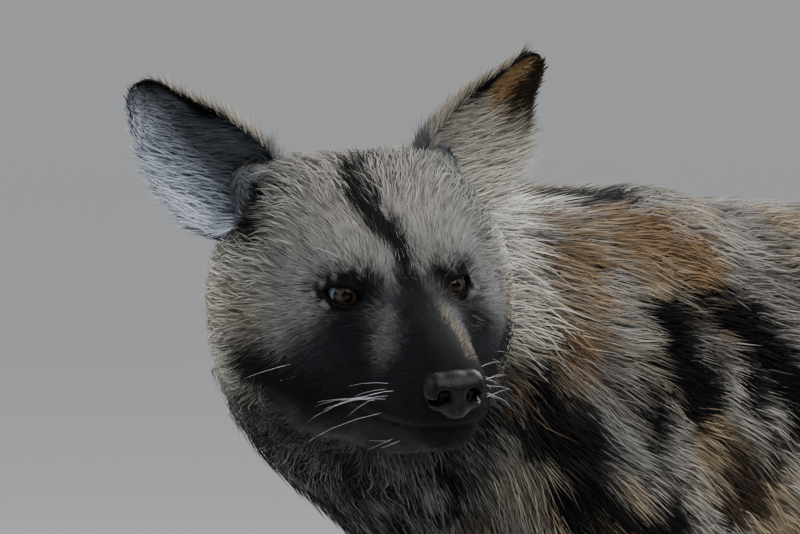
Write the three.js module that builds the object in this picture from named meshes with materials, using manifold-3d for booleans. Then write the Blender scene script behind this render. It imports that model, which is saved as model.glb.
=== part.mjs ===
// African wild dog: a still, life-size model that stands on its four feet with its head turned
// to its left. Millimetres; +X is the way the trunk faces, +Y its left side, +Z up, ground z = 0.
import * as THREE from "three";
import { mergeVertices } from "three/addons/utils/BufferGeometryUtils.js";
import Module from "manifold-3d";

const wasm = await Module();
wasm.setup();

// Driving dimensions
const GAP = 0.3; // air left between two nodes that touch
const WITHERS = 652; // height of the bare shoulder
const HEAD_AT = new THREE.Vector3(273, 148, 629); // point midway between the eyes
const HEAD_REACH = 260; // nothing of the head's own form is further than this from HEAD_AT
const HEAD_YAW = 71; // degrees, to its left
const HEAD_PITCH = 11; // degrees, nose down
const HEAD_ROLL = 4;
const EYE_SPREAD = 31; // each eye's distance from the middle of the face
const EYE_RADIUS = 12;
const LID = 1.9; // thickness of an eyelid
const SLIT = { half: 12, upper: 6.2, lower: 5.4, tilt: 12 };
const GAZE_OUT = 24; // degrees that the opening between the lids turns from straight ahead
const GAZE_UP = 4;
const NOSE = { at: [103, 0, -38], radii: [13, 18, 14.5] };
const EAR = {
  root: [-84, 52, 24],
  tip: [-104, 127, 112],
  bow: [-9, 3, -1], // of the middle, off the straight line from root to tip
  radius: 33,
  wall: 3.6,
  heights: [0, 0.11, 0.22, 0.33, 0.44, 0.56, 0.67, 0.78, 0.88, 0.95, 1],
  girths: [0, 0.9, 1.08, 1.06, 1, 0.9, 0.77, 0.64, 0.5, 0.36, 0],
};
const EAR_CUT = 0.26; // share of the ear, from its root, that stays with the head
const FORE_FOOT_Y = 61;
const HIND_FOOT_Y = 60;
const FORE_CUT = 368; // height at which a foreleg leaves the trunk, under the elbow
const HIND_CUT = 452; // height at which a hind leg leaves the trunk, above the knee
const TAIL_CUT = -632;
const NECK_CUT = { point: [85, 0, 580], normal: [0.823, 0, 0.568] };
const THROAT_CUT = { point: [-100, 0, -35], normal: [0.893, 0, 0.451] }; // in the head's frame
const STRIDES = { fore_left: 26, hind_left: -34, fore_right: -22, hind_right: 30 };
const SIDES = [
  { name: "left", sign: 1 },
  { name: "right", sign: -1 },
];

// Coat: depth from the flesh to the tips of the hair, by region
const COAT = {
  foot: 3,
  leg: 6,
  belly: 15,
  flank: 18,
  neck: 28,
  muzzle: 2.5,
  face: 5,
  crown: 12,
  ruff: 16,
  tail: 36,
};
const CORE = 0.46; // share of that depth which is solid under the locks
const LOCKS = {
  trunk: { rows: 14, columns: 11, length: 84, width: 46, thick: 9 },
  neck: { rows: 6, columns: 10, length: 72, width: 38, thick: 8 },
  ruff: { rows: 6, columns: 13, length: 44, width: 24, thick: 5 },
  tail: { rows: 8, columns: 5, length: 78, width: 24, thick: 9 },
};

// The trunk, from the breast to the rump, as rows of x, top, bottom and half width
const TRUNK = [
  [132, 540, 492, 10],
  [120, 574, 458, 36],
  [92, 608, 428, 54],
  [50, 634, 406, 66],
  [0, WITHERS - 4, 397, 75],
  [-80, WITHERS, 394, 84],
  [-160, WITHERS - 3, 400, 90],
  [-240, 645, 422, 90],
  [-320, 643, 456, 82],
  [-400, 641, 490, 71],
  [-470, 637, 508, 66],
  [-540, 618, 508, 60],
  [-590, 588, 514, 42],
  [-612, 562, 532, 12],
];
// The head from the nose to the back of the skull, in its own frame, as the same kind of rows
const SKULL = [
  [104, -30, -54, 8],
  [97, -22, -61, 15],
  [84, -15, -66, 20],
  [64, -8.5, -69, 25],
  [42, -2, -72, 31],
  [22, 7, -76, 38],
  [2, 20, -80, 45],
  [-20, 33, -84, 52],
  [-46, 43, -87, 58],
  [-74, 48, -86, 60],
  [-100, 44, -77, 56],
  [-120, 31, -60, 45],
  [-134, 5, -35, 20],
];

const { clamp, degToRad, lerp, smoothstep } = THREE.MathUtils;

const headFrame = new THREE.Matrix4()
  .makeRotationFromEuler(
    new THREE.Euler(degToRad(HEAD_ROLL), degToRad(HEAD_PITCH), degToRad(HEAD_YAW), "ZYX"),
  )
  .setPosition(HEAD_AT);
const headFrameBack = headFrame.clone().invert();
const fromHead = (x, y, z) => new THREE.Vector3(x, y, z).applyMatrix4(headFrame);
const headWay = (x, y, z) => new THREE.Vector3(x, y, z).transformDirection(headFrame);

// Seeded numbers from 0 to 1
function draws(seed) {
  let state = seed;
  return () => {
    state = (state * 1664525 + 1013904223) % 4294967296;
    return state / 4294967296;
  };
}

// Flesh as a distance field: each form returns how far a point is outside it

// A smooth run through rows of numbers, with a few steps in each span
function spline(rows, steps) {
  const last = rows.length - 1;
  const before = rows[0].map((v, k) => 2 * v - rows[1][k]);
  const after = rows[last].map((v, k) => 2 * v - rows[last - 1][k]);
  const knots = [before, ...rows, after];
  const run = [];
  for (let i = 1; i <= last; i++) {
    for (let step = 0; step < steps; step++) {
      const t = step / steps;
      run.push(
        knots[i].map((b, k) => {
          const [a, c, d] = [knots[i - 1][k], knots[i + 1][k], knots[i + 2][k]];
          const bend = 2 * a - 5 * b + 4 * c - d;
          return 0.5 * (2 * b + (c - a) * t + bend * t * t + (3 * b - a - 3 * c + d) * t ** 3);
        }),
      );
    }
  }
  run.push(rows[last]);
  return run;
}

// One round cone between two rows of x, y, z, radius and side-to-side share
function link([ax, ay, az, ar, aw], [bx, by, bz, br, bw]) {
  const wide = (aw + bw) / 2;
  const dx = bx - ax;
  const dy = (by - ay) / wide;
  const dz = bz - az;
  const length2 = dx * dx + dy * dy + dz * dz;
  return (p) => {
    const x = p.x - ax;
    const y = (p.y - ay) / wide;
    const z = p.z - az;
    const t = clamp((x * dx + y * dy + z * dz) / length2, 0, 1);
    const away = Math.sqrt((x - t * dx) ** 2 + (y - t * dy) ** 2 + (z - t * dz) ** 2);
    return (away - ar - (br - ar) * t) * Math.min(1, wide);
  };
}

// A chain of cones that bends smoothly through its rows
function limb(rows, steps = 4) {
  const knots = spline(rows, steps);
  const links = knots.slice(1).map((knot, i) => link(knots[i], knot));
  return (p) => {
    let nearest = Infinity;
    for (const piece of links) nearest = Math.min(nearest, piece(p));
    return nearest;
  };
}

// An ellipsoid, leaning about Y and turned about Z by degrees
function ball(centre, radii, lean = 0, turn = 0) {
  const back = new THREE.Matrix4()
    .makeRotationFromEuler(new THREE.Euler(0, degToRad(lean), degToRad(turn), "ZYX"))
    .setPosition(...centre)
    .invert();
  const q = new THREE.Vector3();
  return (p) => {
    q.copy(p).applyMatrix4(back);
    const near = Math.hypot(q.x / radii[0], q.y / radii[1], q.z / radii[2]);
    const slope = Math.hypot(q.x / radii[0] ** 2, q.y / radii[1] ** 2, q.z / radii[2] ** 2);
    return (near * (near - 1)) / Math.max(slope, 1e-9);
  };
}

// A body along X through rows of x, top, bottom and half width, with rounded-square sections
function tube(rows, power) {
  const run = spline([...rows].sort((a, b) => a[0] - b[0]), 6);
  const [first, last] = [run[0][0], run[run.length - 1][0]];
  return (p) => {
    const x = clamp(p.x, first, last);
    let i = 0;
    while (i < run.length - 2 && run[i + 1][0] < x) i++;
    const t = clamp((x - run[i][0]) / (run[i + 1][0] - run[i][0]), 0, 1);
    const [top, bottom, half] = [1, 2, 3].map((k) => lerp(run[i][k], run[i + 1][k], t));
    const high = Math.max((top - bottom) / 2, 1);
    const wide = Math.max(half, 1);
    const share =
      (Math.abs(p.y / wide) ** power + Math.abs((p.z - (top + bottom) / 2) / high) ** power) **
      (1 / power);
    const across = (share - 1) * Math.min(wide, high);
    const past = Math.max(first - p.x, p.x - last, 0);
    return past > 0 ? Math.hypot(Math.max(across, 0), past) : across;
  };
}

function blend(a, b, width) {
  const h = Math.max(width - Math.abs(a - b), 0) / width;
  return Math.min(a, b) - (h * h * width) / 4;
}

// Forms as [field, width of its blend], joined smoothly in their order
function join(forms) {
  return (p) => {
    let d = Infinity;
    for (const [field, width] of forms) {
      const next = field(p);
      d = d === Infinity ? next : blend(d, next, width);
    }
    return d;
  };
}

// A place on a leg: the foot steps forward or back by the stride, the top stays where it is
const stance = (side, stride, pivot) => (x, y, z, ...rest) => [
  x + stride * Math.max(0, 1 - z / pivot),
  side * y,
  z,
  ...rest,
];

// Toes as offsets from the foot's middle line and how far forward each one ends
const foreToes = [[-21, 47], [-7.6, 58], [7.6, 58], [21, 47]];
const hindToes = [[-19.5, -526], [-7, -515], [7, -515], [19.5, -526]];

function foreToe(at, [across, ahead]) {
  return [
    at(ahead - 26, FORE_FOOT_Y + across * 0.8, 27, 11, 1),
    at(ahead - 8, FORE_FOOT_Y + across, 22, 11, 1),
    at(ahead + 5, FORE_FOOT_Y + across, 11, 9.6, 1),
  ];
}

function hindToe(at, [across, ahead]) {
  return [
    at(ahead - 26, HIND_FOOT_Y + across * 0.8, 26, 10.5, 1),
    at(ahead - 8, HIND_FOOT_Y + across, 21, 10.5, 1),
    at(ahead + 5, HIND_FOOT_Y + across, 10.5, 9.2, 1),
  ];
}

// Foreleg below the shoulder, as rows for a limb
const foreShaft = (at) => [
  at(-18, 67, 420, 31, 0.8),
  at(-20, 66, 375, 28, 0.82),
  at(-15, 64, 300, 21, 0.86),
  at(-12, 61, 220, 15.5, 0.9),
  at(-11, 61, 174, 16, 0.94),
  at(-7, 61, 135, 13.5, 1),
  at(0, 61, 90, 13, 1.05),
  at(8, 61, 52, 15, 1.1),
  at(20, 61, 32, 18, 1.2),
  at(36, 61, 24, 15, 1.3),
];

// Hind leg from the knee down
const hindShaft = (at) => [
  at(-444, 67, 418, 32, 0.72),
  at(-456, 67, 385, 32, 0.74),
  at(-494, 65, 330, 26, 0.78),
  at(-540, 62, 265, 18, 0.82),
  at(-576, 61, 216, 13.5, 0.9),
  at(-587, 60, 192, 15.5, 0.9),
  at(-585, 60, 160, 13, 0.95),
  at(-576, 60, 100, 12, 1),
  at(-566, 60, 56, 13.5, 1.05),
  at(-552, 60, 32, 16.5, 1.2),
  at(-536, 60, 23, 14.5, 1.3),
];

function foreleg(at, side) {
  const upperArm = [
    at(-14, 40, 622, 26, 0.6),
    at(28, 54, 560, 38, 0.62),
    at(58, 62, 500, 42, 0.7),
    at(20, 67, 448, 42, 0.72),
    at(-22, 68, 405, 33, 0.8),
  ];
  return [
    [limb(upperArm), 30],
    [ball([-40, side * 60, 462], [54, 25, 56], 25), 28],
    [limb(foreShaft(at)), 16],
  ];
}

function hindleg(at) {
  const thigh = [
    at(-505, 40, 585, 50, 0.7),
    at(-500, 54, 525, 66, 0.62),
    at(-476, 63, 465, 56, 0.6),
    at(-450, 67, 412, 37, 0.68),
  ];
  const hamstring = [
    at(-580, 30, 560, 26, 0.8),
    at(-562, 50, 500, 32, 0.74),
    at(-526, 61, 430, 26, 0.7),
    at(-512, 64, 370, 22, 0.7),
  ];
  const heelTendon = [
    at(-532, 62, 300, 9, 1),
    at(-572, 61, 245, 8, 1),
    at(-601, 60, 208, 9, 1),
  ];
  return [
    [limb(thigh), 30],
    [limb(hamstring), 26],
    [limb(hindShaft(at)), 18],
    [limb(heelTendon), 12],
  ];
}

const TAIL = [
  [-575, 0, 592, 26, 1],
  [-622, 0, 573, 17, 1],
  [-664, 0, 526, 13, 1],
  [-688, 0, 455, 11, 1],
  [-694, 0, 375, 9.5, 1],
  [-688, 0, 300, 6, 1],
];
const NECK = [
  [10, 0, 560, 86, 0.84],
  [95, -2, 574, 76, 0.84],
  [160, 8, 590, 67, 0.92],
  [207, 36, 598, 62, 1],
  [...fromHead(-62, 0, -22).toArray(), 60, 1],
];
const THROAT = [
  [216, 32, 568, 31, 1],
  [160, -2, 542, 37, 1],
  [96, -20, 512, 41, 1],
  [40, -20, 480, 41, 1],
];

function headForms() {
  const forms = [[tube(SKULL, 2.2), 1]];
  for (const { sign } of SIDES) {
    const cheekbone = [
      [0, sign * 41, -20, 11, 1],
      [-28, sign * 51, -19, 14, 1],
      [-62, sign * 56, -14, 15, 1],
    ];
    const earBase = [
      [-56, sign * 34, 28, 22, 1],
      [-78, sign * 51, 42, 20, 1],
      [-88, sign * 63, 53, 14, 1],
    ];
    const lip = [
      [92, sign * 8, -54, 6, 1],
      [62, sign * 19, -57, 7.5, 1],
      [30, sign * 27, -61, 7, 1],
    ];
    forms.push(
      [limb(cheekbone), 26],
      [limb(earBase), 16],
      [ball([-50, sign * 42, -48], [42, 24, 34], 10), 34],
      [ball([-62, sign * 30, 13], [48, 29, 29], 8), 26],
      [ball([-9, sign * 27, 14.5], [20, 15, 9], 14, sign * 20), 12],
      [ball([70, sign * 14, -44], [26, 12, 15], 5), 12],
      [limb(lip), 10],
    );
  }
  const jaw = [
    [86, 0, -63, 8, 1.3],
    [60, 0, -67, 13, 1.3],
    [26, 0, -70, 20, 1.3],
    [-10, 0, -68, 27, 1.3],
  ];
  forms.push([limb(jaw), 12], [ball([89, 0, -65], [9, 11, 7.5]), 6]);
  return forms;
}

const legs = [];
for (const { name, sign } of SIDES) {
  const fore = stance(sign, STRIDES["fore_" + name], 480);
  const hind = stance(sign, STRIDES["hind_" + name], 560);
  legs.push({ name: "foreleg_" + name, claws: "claw_fore_" + name, at: fore, sign, front: true });
  legs.push({ name: "hindleg_" + name, claws: "claw_hind_" + name, at: hind, sign, front: false });
}

const bodyField = join([
  [tube(TRUNK, 2.15), 1],
  ...legs.flatMap((leg) => (leg.front ? foreleg(leg.at, leg.sign) : hindleg(leg.at))),
  [limb(TAIL), 20],
  [limb(NECK), 34],
  [limb(THROAT), 34],
]);
const headField = join(headForms());
const inHead = new THREE.Vector3();

function flesh(p) {
  const body = bodyField(p);
  if (p.distanceTo(HEAD_AT) > HEAD_REACH) return body;
  inHead.copy(p).applyMatrix4(headFrameBack);
  return blend(body, headField(inHead), 26);
}

// Share of the long ruff at a place in the head's frame
function ruffAt({ x, y, z }) {
  const cheek = smoothstep(-x, 10, 62) * smoothstep(Math.abs(y) - 0.4 * z, 20, 66);
  return cheek * (1 - smoothstep(z, 0, 42));
}

const headShare = ({ x, z }) => smoothstep(x + 100 + 0.505 * (z + 35), -40, 20);

// Depth of the coat at a point, from the flesh to the tips
function coatDepth(p) {
  const shin = smoothstep(p.z, 60, 120);
  const thigh = smoothstep(p.z, 270, 450);
  let depth = COAT.foot + (COAT.leg - COAT.foot) * shin + (COAT.belly - COAT.leg) * thigh;
  depth += (COAT.flank - COAT.belly) * smoothstep(p.z, 480, 580);
  const chest = smoothstep(p.x, 10, 110) * smoothstep(p.z, 330, 430);
  depth += (COAT.neck - COAT.flank) * chest;
  const brush = smoothstep(-p.x, 612, 660) * smoothstep(p.z, 260, 330);
  const tail = lerp(16, COAT.tail, smoothstep(560 - p.z, 0, 130));
  depth = lerp(depth, tail, brush);
  if (p.distanceTo(HEAD_AT) > HEAD_REACH) return depth;
  inHead.copy(p).applyMatrix4(headFrameBack);
  let face = lerp(COAT.muzzle, COAT.face, smoothstep(-inHead.x, -45, -5));
  face = lerp(face, COAT.crown, smoothstep(-inHead.x, 15, 70) * smoothstep(inHead.z, -20, 20));
  face = lerp(face, COAT.ruff, ruffAt(inHead));
  return lerp(depth, face, headShare(inHead));
}

// Where the hair is long enough to part in locks: 1 there, 0 over the legs, belly and face
function longHair(p) {
  const mantle = smoothstep(p.z, 445, 490) * smoothstep(p.x, -250, -130);
  const long = Math.max(mantle, smoothstep(-p.x, 630, 660));
  if (p.distanceTo(HEAD_AT) > HEAD_REACH) return long;
  inHead.copy(p).applyMatrix4(headFrameBack);
  return lerp(long, smoothstep(ruffAt(inHead), 0.3, 0.7), headShare(inHead));
}

// Skins: closed surfaces found by rays from an axis

// Two unit vectors square to a direction, so that ray(angle) turns round it
function turnRound(ahead, up) {
  const a = up.clone().addScaledVector(ahead, -up.dot(ahead)).normalize();
  const b = ahead.clone().cross(a);
  return (angle) => a.clone().multiplyScalar(-Math.cos(angle)).addScaledVector(b, Math.sin(angle));
}

// The first place along a ray that lies outside the surface
function cast(from, way, surface, reach) {
  const p = new THREE.Vector3();
  let inside = 0;
  let outside = 0.5;
  for (let step = 0; step < 80; step++) {
    const d = surface(p.copy(from).addScaledVector(way, outside));
    if (d > 0) break;
    inside = outside;
    outside = Math.min(outside + Math.max(0.6, -d * 0.8), reach);
    if (inside >= reach) break;
  }
  for (let step = 0; step < 12; step++) {
    const middle = (inside + outside) / 2;
    if (surface(p.copy(from).addScaledVector(way, middle)) > 0) outside = middle;
    else inside = middle;
  }
  return p.copy(from).addScaledVector(way, (inside + outside) / 2);
}

function solidOf(geometry) {
  const bare = geometry.clone();
  bare.deleteAttribute("normal");
  bare.deleteAttribute("uv");
  const merged = mergeVertices(bare, 1e-4);
  return new wasm.Manifold(
    new wasm.Mesh({
      numProp: 3,
      vertProperties: merged.attributes.position.array,
      triVerts: new Uint32Array(merged.index.array),
    }),
  );
}

// A sphere whose rows and columns are moved to place(row, column) by shares from 0 to 1
function shapedSphere(columns, rows, place) {
  const shape = new THREE.SphereGeometry(1, columns, rows);
  const points = shape.attributes.position;
  for (let row = 0; row <= rows; row++) {
    for (let column = 0; column <= columns; column++) {
      const p = place(row / rows, (column % columns) / columns);
      points.setXYZ(row * (columns + 1) + column, p.x, p.y, p.z);
    }
  }
  return solidOf(shape);
}

// A skin round an axis: rays square to it along its length, leaning over at its closed ends
function skinRound({ axis, up, rows, columns, reach, surface }) {
  const leaning = 3;
  const curve = new THREE.CatmullRomCurve3(axis);
  return shapedSphere(columns, rows, (down, round) => {
    const row = Math.round(down * rows);
    const along = clamp((row - leaning) / (rows - 2 * leaning), 0, 1);
    const over = Math.max(leaning - row, 0) - Math.max(row - (rows - leaning), 0);
    const lean = degToRad((90 / leaning) * over);
    const ahead = curve.getTangentAt(along);
    const way = turnRound(ahead, up)(2 * Math.PI * round)
      .multiplyScalar(Math.cos(lean))
      .addScaledVector(ahead, -Math.sin(lean));
    const from = curve.getPointAt(along);
    return cast(from, way, surface, reach(from, way));
  });
}

// Locks: long hair, combed back from the head and down the tail

// The way out of the flesh at a point
function outward(p) {
  const step = 3;
  const slope = new THREE.Vector3();
  for (const axis of ["x", "y", "z"]) {
    const ahead = p.clone();
    const behind = p.clone();
    ahead[axis] += step;
    behind[axis] -= step;
    slope[axis] = flesh(ahead) - flesh(behind);
  }
  return slope.normalize();
}

// The way the hair lies at a point, square to the way out
function lieAt(p, out) {
  const lie = new THREE.Vector3(-1, 0, -0.3);
  lie.lerp(new THREE.Vector3(-0.9, -0.25, -0.45), smoothstep(p.x, 40, 140));
  lie.lerp(new THREE.Vector3(-0.1, 0, -1), smoothstep(-p.x, 615, 660));
  if (p.distanceTo(HEAD_AT) < HEAD_REACH) {
    inHead.copy(p).applyMatrix4(headFrameBack);
    const cheek = headWay(-0.8, Math.sign(inHead.y) * 0.3, -0.5);
    lie.lerp(cheek, headShare(inHead));
  }
  return lie.addScaledVector(out, -lie.dot(out)).normalize();
}

// One flat lock that follows the body's curve, its root sunk in the core and its tip at the
// depth of the coat
function lock({ root, out, lie, length, width, thick, rise, sway }) {
  const sink = 9;
  const stops = [0, 0.2, 0.52, 0.82, 1];
  const girths = [0, 0.72, 1, 0.6, 0];
  const side = lie.clone().cross(out);
  const height = flesh(root);
  const spine = stops.map((along) => {
    const lift = (rise + sink) * Math.sin(Math.min(along * 1.2, 1) * (Math.PI / 2)) - sink;
    const at = root.clone().addScaledVector(lie, length * along);
    at.addScaledVector(side, sway * along ** 2);
    return at.addScaledVector(out, height + lift - flesh(at));
  });
  return shapedSphere(4, 4, (down, round) => {
    const stop = Math.round(down * 4);
    const angle = 2 * Math.PI * round;
    return spine[stop]
      .clone()
      .addScaledVector(out, -(thick / 2) * girths[stop] * Math.sin(angle))
      .addScaledVector(side, -(width / 2) * girths[stop] * Math.cos(angle));
  });
}

// Staggered rows of locks over a skin, each varied a little
function locksOver({ axis, up, reach, surface }, { rows, columns, length, width, thick }, seed) {
  const draw = draws(seed);
  const about = (share) => 1 + share * (2 * draw() - 1);
  const curve = new THREE.CatmullRomCurve3(axis);
  const locks = [];
  for (let row = 0; row < rows; row++) {
    const along = (row + 0.5 * about(0.4)) / rows;
    const ray = turnRound(curve.getTangentAt(along), up);
    for (let column = 0; column < columns; column++) {
      const round = (column + 0.5 * (row % 2) + 0.15 * about(1)) / columns;
      const from = curve.getPointAt(along);
      const way = ray(2 * Math.PI * round);
      const root = cast(from, way, surface, reach(from, way));
      const kept = longHair(root) > 0.6;
      const out = outward(root);
      const shape = {
        length: length * about(0.14),
        width: width * about(0.15),
        thick: thick * about(0.15),
        rise: coatDepth(root) * (1 - CORE) * about(0.1) - 1,
        sway: 12 * (2 * draw() - 1),
      };
      if (kept) locks.push(lock({ root, out, lie: lieAt(root, out), ...shape }));
    }
  }
  return locks;
}

const fuse = (solids) => solids.reduce((whole, piece) => whole.add(piece));

// What is on the side of a plane that its normal points to
function keepBeyond(solid, point, normal, gap = 0) {
  const unit = new THREE.Vector3(...normal).normalize();
  return solid.trimByPlane(unit.toArray(), unit.dot(new THREE.Vector3(...point)) + gap / 2);
}
const opposite = (normal) => normal.map((v) => -v);

function largest(solid) {
  return solid.decompose().reduce((a, b) => (b.volume() > a.volume() ? b : a));
}

// The coat's outer surface, and the core that lies under locks
const coat = (p) => flesh(p) - coatDepth(p);
const core = (p) => flesh(p) - coatDepth(p) * (1 - (1 - CORE) * longHair(p));
const X_AXIS = new THREE.Vector3(1, 0, 0);
const Z_AXIS = new THREE.Vector3(0, 0, 1);
const at3 = (rows) => rows.map(([x, y, z]) => new THREE.Vector3(x, y, z));

const throatPoint = fromHead(...THROAT_CUT.point).toArray();
const throatNormal = headWay(...THROAT_CUT.normal).toArray();

// Trunk, from the base of the neck to the base of the tail, above the height of the legs' tops
const trunkFloor = (x) => lerp(FORE_CUT, HIND_CUT, smoothstep(-x, 330, 375)) + GAP;
const trunkForm = {
  axis: at3([[150, 2, 560], [60, 0, 540], [-80, 0, 540], [-300, 0, 560], [-450, 0, 575], [-560, 0, 565]]),
  up: Z_AXIS,
  rows: 22,
  columns: 20,
  reach: () => 230,
  surface: (p) => Math.max(core(p), trunkFloor(p.x) - p.z),
};
const neckForm = {
  axis: [...at3([[30, 0, 562], [95, -2, 574], [160, 8, 590], [207, 36, 598]]), fromHead(-60, 0, -20)],
  up: Z_AXIS,
  rows: 13,
  columns: 18,
  reach: () => 150,
  surface: core,
};
const headForm = {
  axis: [[-112, 6, -20], [-60, 0, -22], [0, 0, -32], [60, 0, -42], [88, 0, -44]].map((p) => fromHead(...p)),
  up: headWay(0, 0, 1),
  rows: 24,
  columns: 22,
  reach: () => 130,
  surface: core,
};
const tailForm = {
  axis: at3(TAIL),
  up: X_AXIS,
  rows: 14,
  columns: 9,
  reach: () => 70,
  surface: core,
};

// A leg from inside the trunk to its paw, with the toes as forms of their own
function legSkin({ at, front }) {
  const shaft = front ? foreShaft(at) : hindShaft(at);
  const cut = front ? FORE_CUT : HIND_CUT;
  const knee = front ? [] : [at(-484, 64, 492), at(-478, 64, 455)];
  const axis = at3([...knee, ...shaft]);
  // A ray stays on its own side of the animal, and the top dives under the trunk's skin
  const reach = (from, way) => {
    const most = front ? 60 : lerp(60, 105, smoothstep(from.z, 330, 420));
    return way.y * from.y < 0 ? Math.min(most, (Math.abs(from.y) - 2) / Math.abs(way.y)) : most;
  };
  const surface = (p) => coat(p) + 4 * smoothstep(p.z, cut + 6, cut + 40);
  const skin = skinRound({ axis, up: X_AXIS, rows: 22, columns: 10, reach, surface });
  const toes = (front ? foreToes : hindToes).map((toe) => {
    const rows = front ? foreToe(at, toe) : hindToe(at, toe);
    const toeField = limb(rows, 3);
    const surface = (p) => toeField(p) - COAT.foot * 0.6;
    return skinRound({ axis: at3(rows), up: X_AXIS, rows: 7, columns: 6, reach: () => 30, surface });
  });
  return keepBeyond(fuse([skin, ...toes]), [0, 0, 0], [0, 0, 1]);
}

// A claw that curves forward and down from the end of a toe
function claw({ at, front }, [across, ahead], grow) {
  const middle = front ? FORE_FOOT_Y : HIND_FOOT_Y;
  const path = new THREE.CatmullRomCurve3(
    at3([
      at(ahead + 2 - grow, middle + across, 17),
      at(ahead + 15, middle + across, 16.5),
      at(ahead + 24 + grow, middle + across, 6.5 - grow),
    ]),
  );
  const widths = [0, 4.4, 4.6, 3, 0];
  return shapedSphere(5, 4, (down, round) => {
    const ahead3 = path.getTangentAt(down);
    const out = turnRound(ahead3, X_AXIS.clone().add(Z_AXIS))(2 * Math.PI * round);
    const width = widths[Math.round(down * 4)];
    return path.getPointAt(down).addScaledVector(out, width > 0 ? width + grow : 0);
  });
}

// Head pieces, each first in the head's own frame
const placedInHead = (geometry) => solidOf(geometry.applyMatrix4(headFrame));

function headBall(centre, radii, columns = 12, rows = 9) {
  return placedInHead(
    new THREE.SphereGeometry(1, columns, rows).scale(...radii).translate(...centre),
  );
}

// The opening between the lids, cut outwards along the gaze
function lidSlit(sign) {
  const { half, upper, lower, tilt } = SLIT;
  const outline = new THREE.Shape()
    .moveTo(-half, 0)
    .quadraticCurveTo(-half * 0.2, upper * 2.1, half, 0)
    .quadraticCurveTo(half * 0.1, -lower * 2.0, -half, 0);
  const slit = new THREE.ExtrudeGeometry(outline, { depth: 26, bevelEnabled: false, curveSegments: 6 });
  const gaze = new THREE.Vector3(1, 0, 0)
    .applyAxisAngle(new THREE.Vector3(0, 1, 0), -degToRad(GAZE_UP))
    .applyAxisAngle(Z_AXIS, sign * degToRad(GAZE_OUT));
  const side = Z_AXIS.clone().cross(gaze).normalize();
  const up = gaze.clone().cross(side);
  slit.rotateZ(sign * degToRad(tilt));
  slit.translate(0, 0, EYE_RADIUS * 0.4);
  slit.applyMatrix4(new THREE.Matrix4().makeBasis(side, up, gaze));
  slit.translate(0, sign * EYE_SPREAD, 0);
  return placedInHead(slit);
}

// The thin wedge between the lips, open at the front and closed at the corners of the mouth
function mouthSlit() {
  const lipLine = new THREE.QuadraticBezierCurve(
    new THREE.Vector2(112, -57.5),
    new THREE.Vector2(62, -64),
    new THREE.Vector2(24, -60),
  );
  const along = lipLine.getPoints(8);
  const outline = new THREE.Shape();
  outline.moveTo(along[0].x, along[0].y + 1);
  for (const p of along.slice(1, -1)) outline.lineTo(p.x, p.y + 1);
  outline.lineTo(along[8].x, along[8].y);
  for (const p of along.slice(0, -1).reverse()) outline.lineTo(p.x, p.y - 1);
  const slab = new THREE.ExtrudeGeometry(outline, { depth: 100, bevelEnabled: false });
  slab.translate(0, 0, -50).rotateX(Math.PI / 2);
  return placedInHead(slab);
}

// Flesh inside the lips, which stops the wedge a few millimetres in
function innerMuzzle() {
  const axis = [fromHead(10, 0, -50), fromHead(50, 0, -48), fromHead(84, 0, -46)];
  const surface = (p) => flesh(p) + 4.5;
  return skinRound({ axis, up: headWay(0, 0, 1), rows: 8, columns: 10, reach: () => 60, surface });
}

// A deep cup with its opening turned forward and out, narrow at its rounded tip
function ear(sign) {
  const mirrored = ([x, y, z]) => new THREE.Vector3(x, sign * y, z);
  const root = mirrored(EAR.root);
  const tip = mirrored(EAR.tip);
  const middle = root.clone().lerp(tip, 0.55).add(mirrored(EAR.bow));
  const axis = new THREE.CatmullRomCurve3([root, middle, tip]);
  const mouth = new THREE.Vector3(0.78, sign * 0.55, 0.1);
  const rows = EAR.girths.length - 1;
  const columns = 16;
  return shapedSphere(columns, rows, (down, round) => {
    const ring = EAR.girths[Math.round(down * rows)];
    const along = EAR.heights[Math.round(down * rows)];
    const ahead = axis.getTangentAt(along);
    const facing = mouth.clone().addScaledVector(ahead, -mouth.dot(ahead)).normalize();
    const side = ahead.clone().cross(facing);
    const open = degToRad(lerp(84, 58, along));
    const radius = EAR.radius * ring;
    const half = columns / 2;
    const column = Math.round(round * columns);
    const onBack = column <= half;
    const share = onBack ? column / half : (columns - column) / half;
    const angle = lerp(-open, open, share);
    const rim = column === 0 || column === half ? 0 : EAR.wall / 2;
    const r = Math.max(radius + (onBack ? rim : -rim), 0);
    return axis
      .getPointAt(along)
      .addScaledVector(side, r * Math.sin(angle) * Math.min(1, ring * 4))
      .addScaledVector(facing, -(r * Math.cos(angle) - radius * Math.cos(open)) * (ring > 0 ? 1 : 0))
      .applyMatrix4(headFrame);
  });
}

function earCut(sign) {
  const root = new THREE.Vector3(EAR.root[0], sign * EAR.root[1], EAR.root[2]);
  const tip = new THREE.Vector3(EAR.tip[0], sign * EAR.tip[1], EAR.tip[2]);
  const point = root.clone().lerp(tip, EAR_CUT).applyMatrix4(headFrame);
  const middle = root.clone().lerp(tip, 0.6).toArray();
  const normal = tip.sub(root).normalize().transformDirection(headFrame);
  return { point: point.toArray(), normal: normal.toArray(), middle };
}

function noseSolids() {
  const [x, , z] = NOSE.at;
  const pad = headBall(NOSE.at, NOSE.radii);
  const cuts = SIDES.flatMap(({ sign }) => [
    headBall([x + 11, sign * 8.6, z + 1], [7, 4.4, 4.2], 8, 6),
    headBall([x + 6, sign * 14.5, z - 2.5], [7, 6, 1.9], 8, 6),
  ]);
  const groove = headBall([x + 13, 0, z - 7], [3.2, 1.1, 9], 8, 6);
  const swollen = headBall(NOSE.at, NOSE.radii.map((r) => r + GAP + 0.15));
  return { nose: pad.subtract(fuse([...cuts, groove])), room: swollen };
}

// Nodes
const solids = new Map();
const { nose, room: noseRoom } = noseSolids();
solids.set("nose", nose);

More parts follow.
